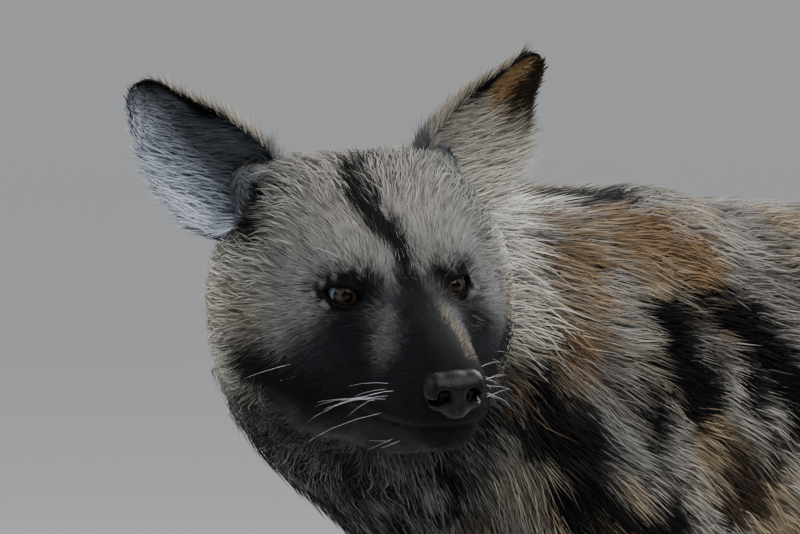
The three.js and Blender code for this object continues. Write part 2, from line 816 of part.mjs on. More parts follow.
const ruff = locksOver({ ...headForm, axis: headForm.axis.slice(0, 3) }, LOCKS.ruff, 11);
let head = skinRound(headForm).subtract(mouthSlit()).add(innerMuzzle()).subtract(noseRoom);
head = fuse([head, ...ruff]);
for (const { name, sign } of SIDES) {
  const eyeAt = [0, sign * EYE_SPREAD, 0];
  const same = (r) => [r, r, r];
  solids.set("eye_" + name, headBall(eyeAt, same(EYE_RADIUS)));
  head = head
    .add(headBall(eyeAt, same(EYE_RADIUS + LID)))
    .subtract(headBall(eyeAt, same(EYE_RADIUS + GAP + 0.15)))
    .subtract(lidSlit(sign));
  const cup = ear(sign);
  const { point, normal, middle } = earCut(sign);
  const room = keepBeyond(headBall(middle, same(EAR.radius * 2)), point, normal, -GAP);
  solids.set("ear_" + name, largest(keepBeyond(cup, point, normal, GAP)));
  head = head.subtract(room).add(keepBeyond(cup, point, opposite(normal), GAP));
}
solids.set("head", largest(keepBeyond(head, throatPoint, throatNormal, GAP)));

const neckCoat = fuse([skinRound(neckForm), ...locksOver(neckForm, LOCKS.neck, 23)]);
const neck = keepBeyond(neckCoat, NECK_CUT.point, NECK_CUT.normal, GAP);
solids.set("neck", largest(keepBeyond(neck, throatPoint, opposite(throatNormal), GAP)));

const tailCore = skinRound(tailForm);
const tail = fuse([tailCore, ...locksOver(tailForm, LOCKS.tail, 37)]);
solids.set("tail", largest(keepBeyond(tail, [TAIL_CUT, 0, 0], [-1, 0, 0], GAP)));

let torso = fuse([skinRound(trunkForm), tailCore, ...locksOver(trunkForm, LOCKS.trunk, 53)]);
for (const leg of legs) {
  const whole = legSkin(leg);
  const height = leg.front ? FORE_CUT : HIND_CUT;
  torso = torso.add(keepBeyond(whole, [0, 0, height], [0, 0, 1], GAP));
  let shaft = keepBeyond(whole, [0, 0, height], [0, 0, -1], GAP);
  const toes = leg.front ? foreToes : hindToes;
  toes.forEach((toe, i) => {
    shaft = shaft.subtract(claw(leg, toe, GAP + 0.1));
    solids.set(leg.claws + "_" + (i + 1), claw(leg, toe, 0));
  });
  solids.set(leg.name, largest(shaft));
}
torso = keepBeyond(torso, [TAIL_CUT, 0, 0], [1, 0, 0], GAP);
solids.set("torso", largest(keepBeyond(torso, NECK_CUT.point, opposite(NECK_CUT.normal), GAP)));

// Colours, and the model set with its origin on the ground under the middle of its outline
const MATERIALS = {
  torso: { color: "#5f4a36", roughness: 0.9 },
  neck: { color: "#6b5a48", roughness: 0.9 },
  head: { color: "#57504a", roughness: 0.88 },
  tail: { color: "#8d8377", roughness: 0.92 },
  ear: { color: "#3c3733", roughness: 0.88 },
  foreleg: { color: "#6e5c48", roughness: 0.85 },
  hindleg: { color: "#6e5c48", roughness: 0.85 },
  eye: { color: "#5a3a1e", roughness: 0.08 },
  nose: { color: "#16151a", roughness: 0.35 },
  claw: { color: "#2a2522", roughness: 0.4 },
};

const dog = new THREE.Group();
for (const [name, solid] of solids) {
  const { numProp, vertProperties, triVerts } = solid.getMesh();
  const geometry = new THREE.BufferGeometry();
  geometry.setAttribute("position", new THREE.BufferAttribute(vertProperties, numProp));
  geometry.setIndex(new THREE.BufferAttribute(triVerts, 1));
  const finish = MATERIALS[name.split("_")[0]];
  const mesh = new THREE.Mesh(geometry, new THREE.MeshStandardMaterial({ ...finish, metalness: 0 }));
  mesh.name = name;
  dog.add(mesh);
}
const outline = new THREE.Box3().setFromObject(dog);
const centre = outline.getCenter(new THREE.Vector3());
dog.position.set(-centre.x, -centre.y, -outline.min.z);

const part = new THREE.Group();
part.add(dog);
export default part;
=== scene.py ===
"""African wild dog, a still life-size model: its skin, coat, eyes, nose, whiskers and claws."""
import math

import bmesh
import bpy
import numpy as np
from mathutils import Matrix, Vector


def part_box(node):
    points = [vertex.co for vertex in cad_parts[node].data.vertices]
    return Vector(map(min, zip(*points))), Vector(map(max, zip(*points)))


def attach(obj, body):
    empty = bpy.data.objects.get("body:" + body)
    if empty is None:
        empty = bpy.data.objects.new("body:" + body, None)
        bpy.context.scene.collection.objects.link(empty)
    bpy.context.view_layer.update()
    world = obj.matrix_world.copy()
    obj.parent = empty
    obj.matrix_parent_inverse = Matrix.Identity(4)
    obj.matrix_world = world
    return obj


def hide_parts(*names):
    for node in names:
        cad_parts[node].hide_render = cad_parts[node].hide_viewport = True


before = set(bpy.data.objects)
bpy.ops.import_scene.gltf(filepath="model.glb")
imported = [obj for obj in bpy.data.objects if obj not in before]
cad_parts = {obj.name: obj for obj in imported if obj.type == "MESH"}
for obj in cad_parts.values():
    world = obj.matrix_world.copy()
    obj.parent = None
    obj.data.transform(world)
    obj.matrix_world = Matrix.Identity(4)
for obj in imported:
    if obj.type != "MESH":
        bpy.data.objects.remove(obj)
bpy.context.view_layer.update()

import openvdb
from mathutils import Matrix, Vector
from mathutils.kdtree import KDTree

# Stance and head carriage. The animal is measured in millimetres in a frame of its own: X the way
# the trunk faces, Y its left, Z up from the ground. The head has another frame, midway between
# the eyes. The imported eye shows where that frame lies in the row.
MM = 0.001
WITHERS = 652.0
HEAD_AT = np.array([273.0, 148.0, 629.0])
HEAD_YAW, HEAD_PITCH, HEAD_ROLL = 71.0, 11.0, 4.0
SIDES = {"left": 1, "right": -1}
EYE_SPREAD = 31.0
EYE_RADIUS = 12.0
HEAD_REACH = 260.0  # how far from the eyes the head can shape or colour anything


def turn(degrees, axis):
    return np.array(Matrix.Rotation(math.radians(degrees), 3, axis))


HEAD_TURN = turn(HEAD_YAW, "Z") @ turn(HEAD_PITCH, "Y") @ turn(HEAD_ROLL, "X")


def to_head(p):
    return (p - HEAD_AT) @ HEAD_TURN


def from_head(q):
    return np.asarray(q, float) @ HEAD_TURN.T + HEAD_AT


def by_head(p):
    return np.linalg.norm(p - HEAD_AT, axis=1) < HEAD_REACH


def eye_at(s):
    """The middle of an eye in the head's frame, s being 1 for the left and -1 for the right."""
    return np.array([0, s * EYE_SPREAD, 0])


packed_eye = np.mean(np.array(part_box("eye_left")), axis=0)
ROW_SHIFT = packed_eye / MM - from_head(eye_at(1))


def to_row(p):
    return (np.asarray(p) + ROW_SHIFT) * MM


def unit(v):
    return v / np.maximum(np.linalg.norm(v, axis=-1, keepdims=True), 1e-9)


def ramp(value, low, high):
    """0 below low, 1 above high and smooth between."""
    t = np.clip((value - low) / (high - low), 0, 1)
    return t * t * (3 - 2 * t)


# Flesh and bone under the coat, as a field that gives each point its distance outside them.
# Round cones follow the limbs, neck and tail, rounded sections the trunk and skull, and
# muscles, cheekbones and lips are blended on as smoothly as they lie under the hide.
TRUNK = [  # x, top, bottom, half width
    (132, 540, 492, 10), (120, 574, 458, 36), (92, 608, 428, 54), (50, 634, 406, 66),
    (0, WITHERS - 4, 397, 75), (-80, WITHERS, 394, 84), (-160, WITHERS - 3, 400, 90),
    (-240, 645, 422, 90), (-320, 643, 456, 82), (-400, 641, 490, 71), (-470, 637, 508, 66),
    (-540, 618, 508, 60), (-590, 588, 514, 42), (-612, 562, 532, 12),
]
SKULL = [
    (104, -30, -54, 8), (97, -22, -61, 15), (84, -15, -66, 20), (64, -8.5, -69, 25),
    (42, -2, -72, 31), (22, 7, -76, 38), (2, 20, -80, 45), (-20, 33, -84, 52), (-46, 43, -87, 58),
    (-74, 48, -86, 60), (-100, 44, -77, 56), (-120, 31, -60, 45), (-134, 5, -35, 20),
]
TAIL = [  # x, y, z, radius, side-to-side share
    (-575, 0, 592, 26, 1), (-622, 0, 573, 17, 1), (-664, 0, 526, 13, 1), (-688, 0, 455, 11, 1),
    (-694, 0, 375, 9.5, 1), (-688, 0, 300, 6, 1),
]
NECK = [
    (10, 0, 560, 86, 0.84), (95, -2, 574, 76, 0.84), (160, 8, 590, 67, 0.92), (207, 36, 598, 62, 1),
    (*from_head([-62, 0, -22]), 60, 1),
]
THROAT = [(216, 32, 568, 31, 1), (160, -2, 542, 37, 1), (96, -20, 512, 41, 1), (40, -20, 480, 41, 1)]
STRIDES = {("fore", "left"): 26, ("hind", "left"): -34, ("fore", "right"): -22, ("hind", "right"): 30}
TOES = {  # across the foot, and how far ahead
    "fore": [(-21, 47), (-7.6, 58), (7.6, 58), (21, 47)],
    "hind": [(-19.5, -526), (-7, -515), (7, -515), (19.5, -526)],
}
TOE_ROWS = {  # height and radius at a toe's root, knuckle and tip
    "fore": [(27, 11), (22, 11), (11, 9.6)],
    "hind": [(26, 10.5), (21, 10.5), (10.5, 9.2)],
}
TOE_STEPS = [(-26, 0.8), (-8, 1), (5, 1)]  # how far ahead each row lies, and its share of the spread
FOOT_Y = {"fore": 61, "hind": 60}


def spline(rows, steps):
    """A smooth run through rows of numbers."""
    rows = np.array(rows, float)
    knots = np.vstack([2 * rows[0] - rows[1], rows, 2 * rows[-1] - rows[-2]])
    t = (np.arange(steps) / steps)[:, None]
    run = []
    for a, b, c, d in zip(knots, knots[1:], knots[2:], knots[3:]):
        bend = 2 * a - 5 * b + 4 * c - d
        run.append(0.5 * (2 * b + (c - a) * t + bend * t**2 + (3 * b - a - 3 * c + d) * t**3))
    return np.vstack(run + [rows[-1:]])


def limb(rows, steps=4):
    """A chain of round cones through rows of x, y, z, radius and side-to-side share."""
    knots = spline(rows, steps)

    def field(p):
        nearest = np.full(len(p), 1e3)
        for a, b in zip(knots, knots[1:]):
            wide = (a[4] + b[4]) / 2
            squeeze = np.array([1, 1 / wide, 1])
            start = a[:3] * squeeze
            step = b[:3] * squeeze - start
            v = p * squeeze - start
            t = np.clip(v @ step / (step @ step), 0, 1)
            away = np.linalg.norm(v - t[:, None] * step, axis=1) - (a[3] + (b[3] - a[3]) * t)
            nearest = np.minimum(nearest, away * min(1, wide))
        return nearest

    girth = knots[:, 3].max() * max(1, knots[:, 4].max())
    field.box = (knots[:, :3].min(axis=0) - girth, knots[:, :3].max(axis=0) + girth)
    return field


def ball(centre, radii, lean=0, swing=0):
    """An ellipsoid that leans about Y and swings about Z."""
    centre, radii = np.array(centre, float), np.array(radii, float)
    axes = turn(swing, "Z") @ turn(lean, "Y")

    def field(p):
        q = (p - centre) @ axes
        near = np.linalg.norm(q / radii, axis=1)
        slope = np.linalg.norm(q / radii**2, axis=1)
        return near * (near - 1) / np.maximum(slope, 1e-9)

    field.box = (centre - radii.max(), centre + radii.max())
    return field


def tube(rows, power):
    """A body along X through rows of x, top, bottom and half width, its sections rounded."""
    run = spline(sorted(rows), 6)

    def field(p):
        x = np.clip(p[:, 0], run[0, 0], run[-1, 0])
        top, bottom, half = (np.interp(x, run[:, 0], run[:, k]) for k in (1, 2, 3))
        high = np.maximum((top - bottom) / 2, 1)
        wide = np.maximum(half, 1)
        across = np.abs(p[:, 1] / wide) ** power
        upright = np.abs((p[:, 2] - (top + bottom) / 2) / high) ** power
        inside = ((across + upright) ** (1 / power) - 1) * np.minimum(wide, high)
        past = np.maximum(np.maximum(run[0, 0] - p[:, 0], p[:, 0] - run[-1, 0]), 0)
        return np.where(past > 0, np.hypot(np.maximum(inside, 0), past), inside)

    half = run[:, 3].max()
    field.box = (
        np.array([run[0, 0], -half, run[:, 2].min()]),
        np.array([run[-1, 0], half, run[:, 1].max()]),
    )
    return field


def blend(a, b, width):
    h = np.maximum(width - np.abs(a - b), 0) / width
    return np.minimum(a, b) - h * h * width / 4


def join(forms, reach=45.0):
    """Forms as (field, width of its blend); each counts only within reach of its own box."""

    def field(p):
        d = np.full(len(p), 1e3)
        for form, width in forms:
            low, high = form.box
            near = ((p > low - reach) & (p < high + reach)).all(axis=1)
            if near.any():
                d[near] = blend(d[near], form(p[near]), width)
        return d

    return field


def stance(side, stride, pivot):
    """Places on a leg: the foot steps ahead or back by the stride, its top stays."""
    return lambda x, y, z, *rest: (x + stride * max(0, 1 - z / pivot), side * y, z, *rest)


def toe_forms(at, end):
    forms = []
    for across, ahead in TOES[end]:
        rows = zip(TOE_STEPS, TOE_ROWS[end])
        knots = [at(ahead + x, FOOT_Y[end] + across * share, z, r, 1) for (x, share), (z, r) in rows]
        forms.append((limb(knots, 3), 5))
    return forms


def foreleg(at, side):
    upper_arm = [
        at(-14, 40, 622, 26, 0.6), at(28, 54, 560, 38, 0.62), at(58, 62, 500, 42, 0.7),
        at(20, 67, 448, 42, 0.72), at(-22, 68, 405, 33, 0.8),
    ]
    shaft = [
        at(-18, 67, 420, 31, 0.8), at(-20, 66, 375, 28, 0.82), at(-15, 64, 300, 21, 0.86),
        at(-12, 61, 220, 15.5, 0.9), at(-11, 61, 174, 16, 0.94), at(-7, 61, 135, 13.5, 1),
        at(0, 61, 90, 13, 1.05), at(8, 61, 52, 15, 1.1), at(20, 61, 32, 18, 1.2),
        at(36, 61, 24, 15, 1.3),
    ]
    triceps = ball((-40, side * 60, 462), (54, 25, 56), 25)
    return [(limb(upper_arm), 30), (triceps, 28), (limb(shaft), 16), *toe_forms(at, "fore")]


def hindleg(at):
    thigh = [
        at(-505, 40, 585, 50, 0.7), at(-500, 54, 525, 66, 0.62), at(-476, 63, 465, 56, 0.6),
        at(-450, 67, 412, 37, 0.68),
    ]
    hamstring = [
        at(-580, 30, 560, 26, 0.8), at(-562, 50, 500, 32, 0.74), at(-526, 61, 430, 26, 0.7),
        at(-512, 64, 370, 22, 0.7),
    ]
    shaft = [
        at(-444, 67, 418, 32, 0.72), at(-456, 67, 385, 32, 0.74), at(-494, 65, 330, 26, 0.78),
        at(-540, 62, 265, 18, 0.82), at(-576, 61, 216, 13.5, 0.9), at(-587, 60, 192, 15.5, 0.9),
        at(-585, 60, 160, 13, 0.95), at(-576, 60, 100, 12, 1), at(-566, 60, 56, 13.5, 1.05),
        at(-552, 60, 32, 16.5, 1.2), at(-536, 60, 23, 14.5, 1.3),
    ]
    tendon = [at(-532, 62, 300, 9, 1), at(-572, 61, 245, 8, 1), at(-601, 60, 208, 9, 1)]
    muscles = [(limb(thigh), 30), (limb(hamstring), 26)]
    return muscles + [(limb(shaft), 18), (limb(tendon), 12), *toe_forms(at, "hind")]


def head_forms():
    forms = [(tube(SKULL, 2.2), 1)]
    for s in SIDES.values():
        cheekbone = [(0, s * 41, -20, 11, 1), (-28, s * 51, -19, 14, 1), (-62, s * 56, -14, 15, 1)]
        ear_base = [(-56, s * 34, 28, 20, 1), (-80, s * 47, 38, 13, 1), (-94, s * 56, 48, 7, 1)]
        lip = [(92, s * 8, -54, 6, 1), (62, s * 19, -57, 7.5, 1), (30, s * 27, -61, 7, 1)]
        forms += [
            (limb(cheekbone), 26),
            (limb(ear_base), 16),
            (ball((-50, s * 42, -48), (42, 24, 34), 10), 34),
            (ball((-62, s * 30, 13), (48, 29, 29), 8), 26),
            (ball((-9, s * 27, 14.5), (20, 15, 9), 14, s * 20), 12),
            (ball((70, s * 14, -44), (26, 12, 15), 5), 12),
            (limb(lip), 10),
        ]
    jaw = [(86, 0, -63, 8, 1.3), (60, 0, -67, 13, 1.3), (26, 0, -70, 20, 1.3), (-10, 0, -68, 27, 1.3)]
    return forms + [(limb(jaw), 12), (ball((89, 0, -65), (9, 11, 7.5)), 6)]


legs = {}
for (end, side), stride in STRIDES.items():
    pivot = 480 if end == "fore" else 560
    legs[end, side] = stance(SIDES[side], stride, pivot)
body_forms = [(tube(TRUNK, 2.15), 1)]
for (end, side), at in legs.items():
    body_forms += foreleg(at, SIDES[side]) if end == "fore" else hindleg(at)
body_forms += [(limb(TAIL), 20), (limb(NECK), 34), (limb(THROAT), 34)]
body_field = join(body_forms)
skull_field = join(head_forms())


# Hide over the skull: sockets with the lids closed in round each eye, a hollow rim between the
# lips and the groove down the upper lip. The lids are thin folds over the eyeball.
LID_RADIUS = 13.7
SLIT_HALF, SLIT_UPPER, SLIT_LOWER, SLIT_TILT = 12.6, 5.6, 5.6, 12
GAZE_OUT, GAZE_UP = 24, 4
MOUTH_FRONT, MOUTH_CORNER = 97.0, 20.0


def eye_axes(s):
    """The way an eye looks, the way to its outer corner and the way up, in the head's frame."""
    out, up = math.radians(GAZE_OUT), math.radians(GAZE_UP)
    gaze = unit(np.array([math.cos(out), s * math.sin(out), math.tan(up)]))
    corner = unit(np.cross([0, 0, s], gaze))
    return gaze, corner, s * np.cross(gaze, corner)


def across_eye(q, s):
    """Places round an eye: along the slit between the lids, across it and ahead."""
    v = q - eye_at(s)
    gaze, corner, up = eye_axes(s)
    tilt = math.radians(SLIT_TILT)
    along = v @ corner * math.cos(tilt) + v @ up * math.sin(tilt)
    upward = v @ up * math.cos(tilt) - v @ corner * math.sin(tilt)
    return along, upward, v @ gaze, np.linalg.norm(v, axis=-1)


def slit_height(along, upward):
    share = np.clip(1 - np.abs(along / SLIT_HALF) ** 2.6, 0, 1)
    return np.where(upward > 0, SLIT_UPPER, SLIT_LOWER) * share


def mouth_height(x):
    share = np.clip((MOUTH_FRONT - x) / (MOUTH_FRONT - MOUTH_CORNER), 0, 1)
    return -58 - 4.2 * np.sin(share * math.pi * 0.62)


def skull_hide(q):
    d = skull_field(q)
    for s in SIDES.values():
        near = np.linalg.norm(q - eye_at(s), axis=1) < 45
        if not near.any():
            continue
        along, upward, ahead, away = across_eye(q[near], s)
        hollow = q[near] - eye_at(s) - 9 * eye_axes(s)[0]
        lids = -blend(-d[near], np.linalg.norm(hollow, axis=1) - 11.5, 9)
        lids = blend(lids, away - LID_RADIUS, 7)
        slit = (np.abs(upward) - slit_height(along, upward)) * 0.8
        slit = np.where(np.abs(along) < SLIT_HALF, slit, np.hypot(along, upward) - SLIT_HALF)
        d[near] = np.maximum(lids, -np.maximum(np.maximum(slit, 10.6 - away), -ahead))
    x, y, z = q.T
    under = z - mouth_height(x)
    crease = 2.6 * np.exp(-((under / 1.7) ** 2)) - 0.9 * np.exp(-(((under - 4.5) / 3) ** 2))
    d += np.clip((x - MOUTH_CORNER) / 10, 0, 1) * crease
    groove = np.clip((x - 88) / 5, 0, 1) * np.exp(-(((z + 52) / 5) ** 4))
    return d + 1.4 * np.exp(-((y / 1.2) ** 2)) * groove


def flesh(p):
    d = body_field(p)
    near = by_head(p)
    if near.any():
        d[near] = blend(d[near], skull_hide(to_head(p[near])), 26)
    return np.maximum(d, -p[:, 2])


def outward(p, step=1.5):
    slope = [flesh(p + step * axis) - flesh(p - step * axis) for axis in np.eye(3)]
    return unit(np.stack(slope, axis=-1))


def spaced(low, high, step, fine_low, fine_high, fine):
    """Places along an axis, closer together through the head."""
    before = np.arange(low, fine_low, step)
    within = np.arange(fine_low, fine_high, fine)
    return np.concatenate([before, within, np.arange(fine_high, high + step, step)])


def meshed(field, axes, skip):
    """Corners and quads of the surface where a field is zero, first sought skip by skip."""
    shape = [len(axis) // skip * skip + 1 for axis in axes]
    axes = [np.append(axis, axis[-1] + axis[-1] - axis[-2])[:n] for axis, n in zip(axes, shape)]
    coarse = np.stack(np.meshgrid(*(axis[::skip] for axis in axes), indexing="ij"), axis=-1)
    d = field(coarse.reshape(-1, 3)).reshape(coarse.shape[:3])
    cells = [np.diff(axis[::skip]) for axis in axes]
    width = np.sqrt(sum(c**2 for c in np.meshgrid(*cells, indexing="ij")))
    corners = [d[i : i + d.shape[0] - 1, j : j + d.shape[1] - 1, k : k + d.shape[2] - 1]
               for i in (0, 1) for j in (0, 1) for k in (0, 1)]
    near = np.abs(np.min(np.abs(corners), axis=0)) < width
    values = np.full(shape, 9.0, np.float32)
    inner = np.mean(corners, axis=0) < 0
    for cell in np.argwhere(~near & inner):
        values[tuple(slice(c * skip, c * skip + skip + 1) for c in cell)] = -9.0
    mask = np.zeros(shape, bool)
    for cell in np.argwhere(near):
        mask[tuple(slice(c * skip, c * skip + skip + 1) for c in cell)] = True
    where = np.argwhere(mask)
    points = np.stack([axis[i] for axis, i in zip(axes, where.T)], axis=-1)
    values[mask] = np.clip(field(points), -9, 9)
    grid = openvdb.FloatGrid(9.0)
    grid.copyFromArray(values)
    found, quads = grid.convertToQuads(0.0)
    placed = [np.interp(found[:, k], np.arange(shape[k]), axes[k]) for k in range(3)]
    return np.stack(placed, axis=-1), quads


# Coat: its depth from the flesh to the tips, the way it lies and the share of it that is dense
# underfur. The surface of the underfur is what shows between the tufts of guard hair.
UNDERFUR = 0.4


def mix(a, b, share):
    return a + (b - a) * share


def paint(under, over, share):
    """Lays one colour over another, each place having a share of its own."""
    return mix(under, over, share[..., None])


def ruff_share(q):
    """1 on the long ruff of the cheeks, 0 on the face."""
    x, y, z = q.T
    return ramp(-x, 10, 62) * ramp(np.abs(y) - 0.4 * z, 20, 66) * (1 - ramp(z, 0, 42))


def head_share(q):
    """1 on the head, 0 on the neck."""
    return ramp(q[:, 0] + 100 + 0.505 * (q[:, 2] + 35), -40, 20)


def coat_depth(p):
    x, _, z = p.T
    depth = mix(3, 6, ramp(z, 60, 120))
    depth = mix(depth, 15, ramp(z, 270, 450))
    depth = mix(depth, 18, ramp(z, 480, 580))
    depth = mix(depth, 28, ramp(x, 10, 110) * ramp(z, 330, 430))
    brush = ramp(-x, 612, 660) * ramp(z, 260, 330)
    depth = mix(depth, mix(16, 36, ramp(560 - z, 0, 130)), brush)
    near = by_head(p)
    q = to_head(p[near])
    face = mix(2.5, 5, ramp(-q[:, 0], -45, -5))
    face = mix(face, 12, ramp(-q[:, 0], 15, 70) * ramp(q[:, 2], -20, 20))
    face = mix(face, 16, ruff_share(q))
    depth[near] = mix(depth[near], face, head_share(q))
    return depth


def underfur(p):
    depth = coat_depth(p)
    for s in SIDES.values():
        away = np.linalg.norm(p - from_head(eye_at(s)), axis=1)
        depth *= ramp(away, 14, 24)
    return flesh(p) - UNDERFUR * depth


def blended(*ways):
    """Mixes ways in turn, each given with its share."""
    first, *rest = ways
    for way, share in rest:
        first = mix(first, np.asarray(way, float), share[:, None])
    return first


EAR_BASE = np.array([-84.0, 66.0, 52.0])
EAR_WAY = np.array([-0.1, 0.72, 0.68])


def lie_of(p, out):
    """The way the hair lies: back from the nose, down the sides and limbs, out along the ears."""
    x, y, z = p.T
    side = np.sign(y)
    down = 0.35 + 0.5 * ramp(600 - z, 0, 120)
    trunk = np.stack([-np.ones_like(x), np.zeros_like(x), -down], axis=1)
    chest = np.stack([-0.7 * np.ones_like(x), -0.3 * np.ones_like(x), -0.8 * np.ones_like(x)], axis=1)
    leg = np.stack([-0.25 * np.ones_like(x), 0.1 * side, -np.ones_like(x)], axis=1)
    lie = blended(trunk, (chest, ramp(x, 40, 140)), (leg, 1 - ramp(z, 380, 480)))
    lie = blended(lie, ([-0.1, 0, -1], ramp(-x, 615, 660)))
    near = by_head(p)
    q = to_head(p[near])
    one = np.ones(len(q))
    cheeks = np.stack([-one, 0.35 * np.sign(q[:, 1]), -0.15 - 0.5 * ramp(-q[:, 2], 0, 60)], axis=1)
    round_eyes = 0
    for s in SIDES.values():
        away = q - eye_at(s)
        close = np.exp(-((np.linalg.norm(away, axis=1) / 24) ** 2))
        round_eyes = round_eyes + close[:, None] * (away - [8, 0, 0])
    cheeks = cheeks + 0.12 * round_eyes
    for s in SIDES.values():
        mirror = np.array([1, s, 1])
        close = np.exp(-((np.linalg.norm(q - EAR_BASE * mirror, axis=1) / 26) ** 4))
        cheeks = blended(cheeks, (EAR_WAY * mirror * 1.4, close))
    head = cheeks @ HEAD_TURN.T
    lie[near] = mix(lie[near], head, head_share(q)[:, None])
    lie -= out * np.sum(lie * out, axis=1, keepdims=True)
    return unit(lie)


# Markings. Hairs are black, tan or cream from root to tip, in patches with ragged edges, and the
# head is grey with black over the muzzle and up the middle of the brow. A few of the marks are
# painted light and painted shadow.
def linear(hex_code):
    """An sRGB colour code as linear light."""
    parts = np.array([int(hex_code[i : i + 2], 16) / 255 for i in (1, 3, 5)])
    return np.where(parts > 0.04045, ((parts + 0.055) / 1.055) ** 2.4, parts / 12.92)


BLACK, INK, SLATE, GREY = linear("#050506"), linear("#0c0e12"), linear("#2b2d31"), linear("#626260")
TAN, BUFF, CREAM = linear("#5c4a35"), linear("#716451"), linear("#9b988f")
BROWN, PALE = linear("#261f19"), linear("#726f6a")


def ripple(p, size, seed):
    """Smooth noise between about -1 and 1, its waves about size mm across."""
    draw = np.random.default_rng(seed)
    total = 0
    for _ in range(5):
        way = unit(draw.normal(size=3)) * 2 * math.pi / size * draw.uniform(0.6, 1.4)
        total = total + np.sin(p @ way + draw.uniform(0, 6.3))
    return total / 2.4


def ragged(p, size, seed):
    """Places shifted to and fro, so that what is drawn in them has ragged edges."""
    broad = [ripple(p, size * 4, seed + k) for k in range(3)]
    fine = [ripple(p, size * 1.3, seed + 9 + k) for k in range(3)]
    return p + size * (np.stack(broad, axis=1) + 0.4 * np.stack(fine, axis=1))


def patch(colour, p, shade, *places, radius, edge=4.0, stretch=(1, 1, 1)):
    """Paints a spot, or a streak through several places."""
    stretch = np.array(stretch, float)
    knots = np.array(places, float)
    nearest = np.full(len(p), 1e3)
    for a, b in zip(knots, np.vstack([knots[1:], knots[-1:]])):
        step = (b - a) / stretch
        v = (p - a) / stretch
        t = np.clip(v @ step / max(step @ step, 1e-6), 0, 1)
        nearest = np.minimum(nearest, np.linalg.norm(v - t[:, None] * step, axis=1))
    share = 1 - ramp(nearest, radius - edge, radius + edge)
    return paint(colour, shade, share)


def random_patches(p, colour, low, high, count, seed):
    draw = np.random.default_rng(seed)
    shades = [BLACK, TAN, BLACK, CREAM, BLACK, PALE, BROWN]
    for k in range(count):
        centre = draw.uniform(low, high)
        stretch = (draw.uniform(0.8, 1.9), 1, draw.uniform(0.6, 1.2))
        radius = draw.uniform(14, 34)
        colour = patch(colour, p, shades[k % 7], centre, radius=radius, stretch=stretch)
    return colour


ROUND, WIDE, HIGH = (1, 1, 1), (1, 2.2, 1), (1, 1, 2.5)
SHOULDER = [  # shade, stretch, radius and places, from the white ruff behind the left cheek to the ribs
    (CREAM, ROUND, 20, (60, 20, 676), (110, 50, 672)),
    (CREAM, ROUND, 34, (118, 75, 650), (130, 88, 610), (175, 90, 640)),
    (CREAM, ROUND, 30, (150, 60, 690), (190, 80, 690)),
    # painted shadow: a thin dark brown stripe in the crease where the white ruff overlaps the neck
    (BROWN, WIDE, 8, (84, 70, 645), (88, 88, 618), (104, 90, 596)),
    (TAN, WIDE, 13, (66, 70, 656), (72, 88, 622), (94, 92, 585)),
    (PALE, HIGH, 24, (-40, 10, 676), (-80, 6, 676), (-140, 0, 670)),
    (BLACK, HIGH, 17, (54, 14, 686), (26, 16, 686), (10, 30, 676)),
    (TAN, WIDE, 19, (10, 76, 655), (-26, 88, 640)),
    (BLACK, WIDE, 20, (20, 96, 606), (4, 103, 572), (-6, 106, 548)),
    (BLACK, WIDE, 18, (-30, 96, 618), (-56, 97, 588)),
    (BLACK, WIDE, 12, (40, 104, 568), (36, 108, 540), (44, 108, 512)),
    (BLACK, WIDE, 15, (-70, 100, 560), (-92, 100, 530)),
    (BROWN, WIDE, 18, (-60, 104, 505), (-30, 108, 480)),
    (BLACK, WIDE, 25, (112, 95, 548), (96, 104, 516), (84, 108, 486)),
    (BLACK, WIDE, 16, (20, 108, 480), (50, 108, 470)),
    (TAN, WIDE, 19, (150, 86, 578), (140, 88, 548)),
    (GREY, WIDE, 9, (66, 108, 530), (58, 108, 508)),
]


def body_colour(p):
    x, y, z = p.T
    wild = ragged(p, 9, 40)
    colour = paint(BUFF, PALE, ramp(ripple(wild, 90, 44), -0.7, 0.3))
    colour = paint(colour, BROWN, 0.5 * ramp(ripple(wild, 60, 45), 0.1, 0.6))
    for s in SIDES.values():
        low, high = (-610, s * 90 - 30, 430), (-70 if s > 0 else -20, s * 90 + 30, 690)
        colour = random_patches(wild, colour, low, high, 46 if s > 0 else 66, 51 + s)
    colour = random_patches(wild, colour, (-40, -110, 420), (150, -50, 640), 16, 62)
    colour = paint(colour, mix(BLACK, BROWN, 0.3), 1 - ramp(z, 395, 430))
    for shade, stretch, radius, *places in SHOULDER:
        colour = patch(colour, wild, shade, *places, radius=radius, stretch=stretch)
    throat = ramp(x, 110, 150) * (1 - ramp(z - 0.3 * y, 530, 590))
    shade = paint(mix(SLATE, GREY, 0.35), BLACK, ramp(ripple(wild, 34, 46), -0.4, 0.1))
    colour = paint(colour, shade, throat)
    colour = leg_colour(p, wild, colour)
    return tail_colour(p, colour)


def leg_colour(p, wild, colour):
    x, _, z = p.T
    leg = 1 - ramp(z, 330, 420)
    shade = paint(BUFF, CREAM, ramp(ripple(wild, 170, 72), -0.2, 0.4))
    shade = paint(shade, TAN, ramp(ripple(wild, 150, 73), 0.1, 0.4))
    shade = paint(shade, BLACK, ramp(ripple(wild, 110, 71), 0.05, 0.25))
    return paint(colour, shade, leg * (1 - ramp(-x, 612, 640)))


def tail_colour(p, colour):
    x, _, z = p.T
    on_tail = ramp(-x, 620, 650)
    shade = paint(BLACK, TAN, ramp(z, 500, 540))
    shade = paint(CREAM, shade, ramp(z + 14 * ripple(p, 30, 74), 395, 425))
    return paint(colour, shade, on_tail)


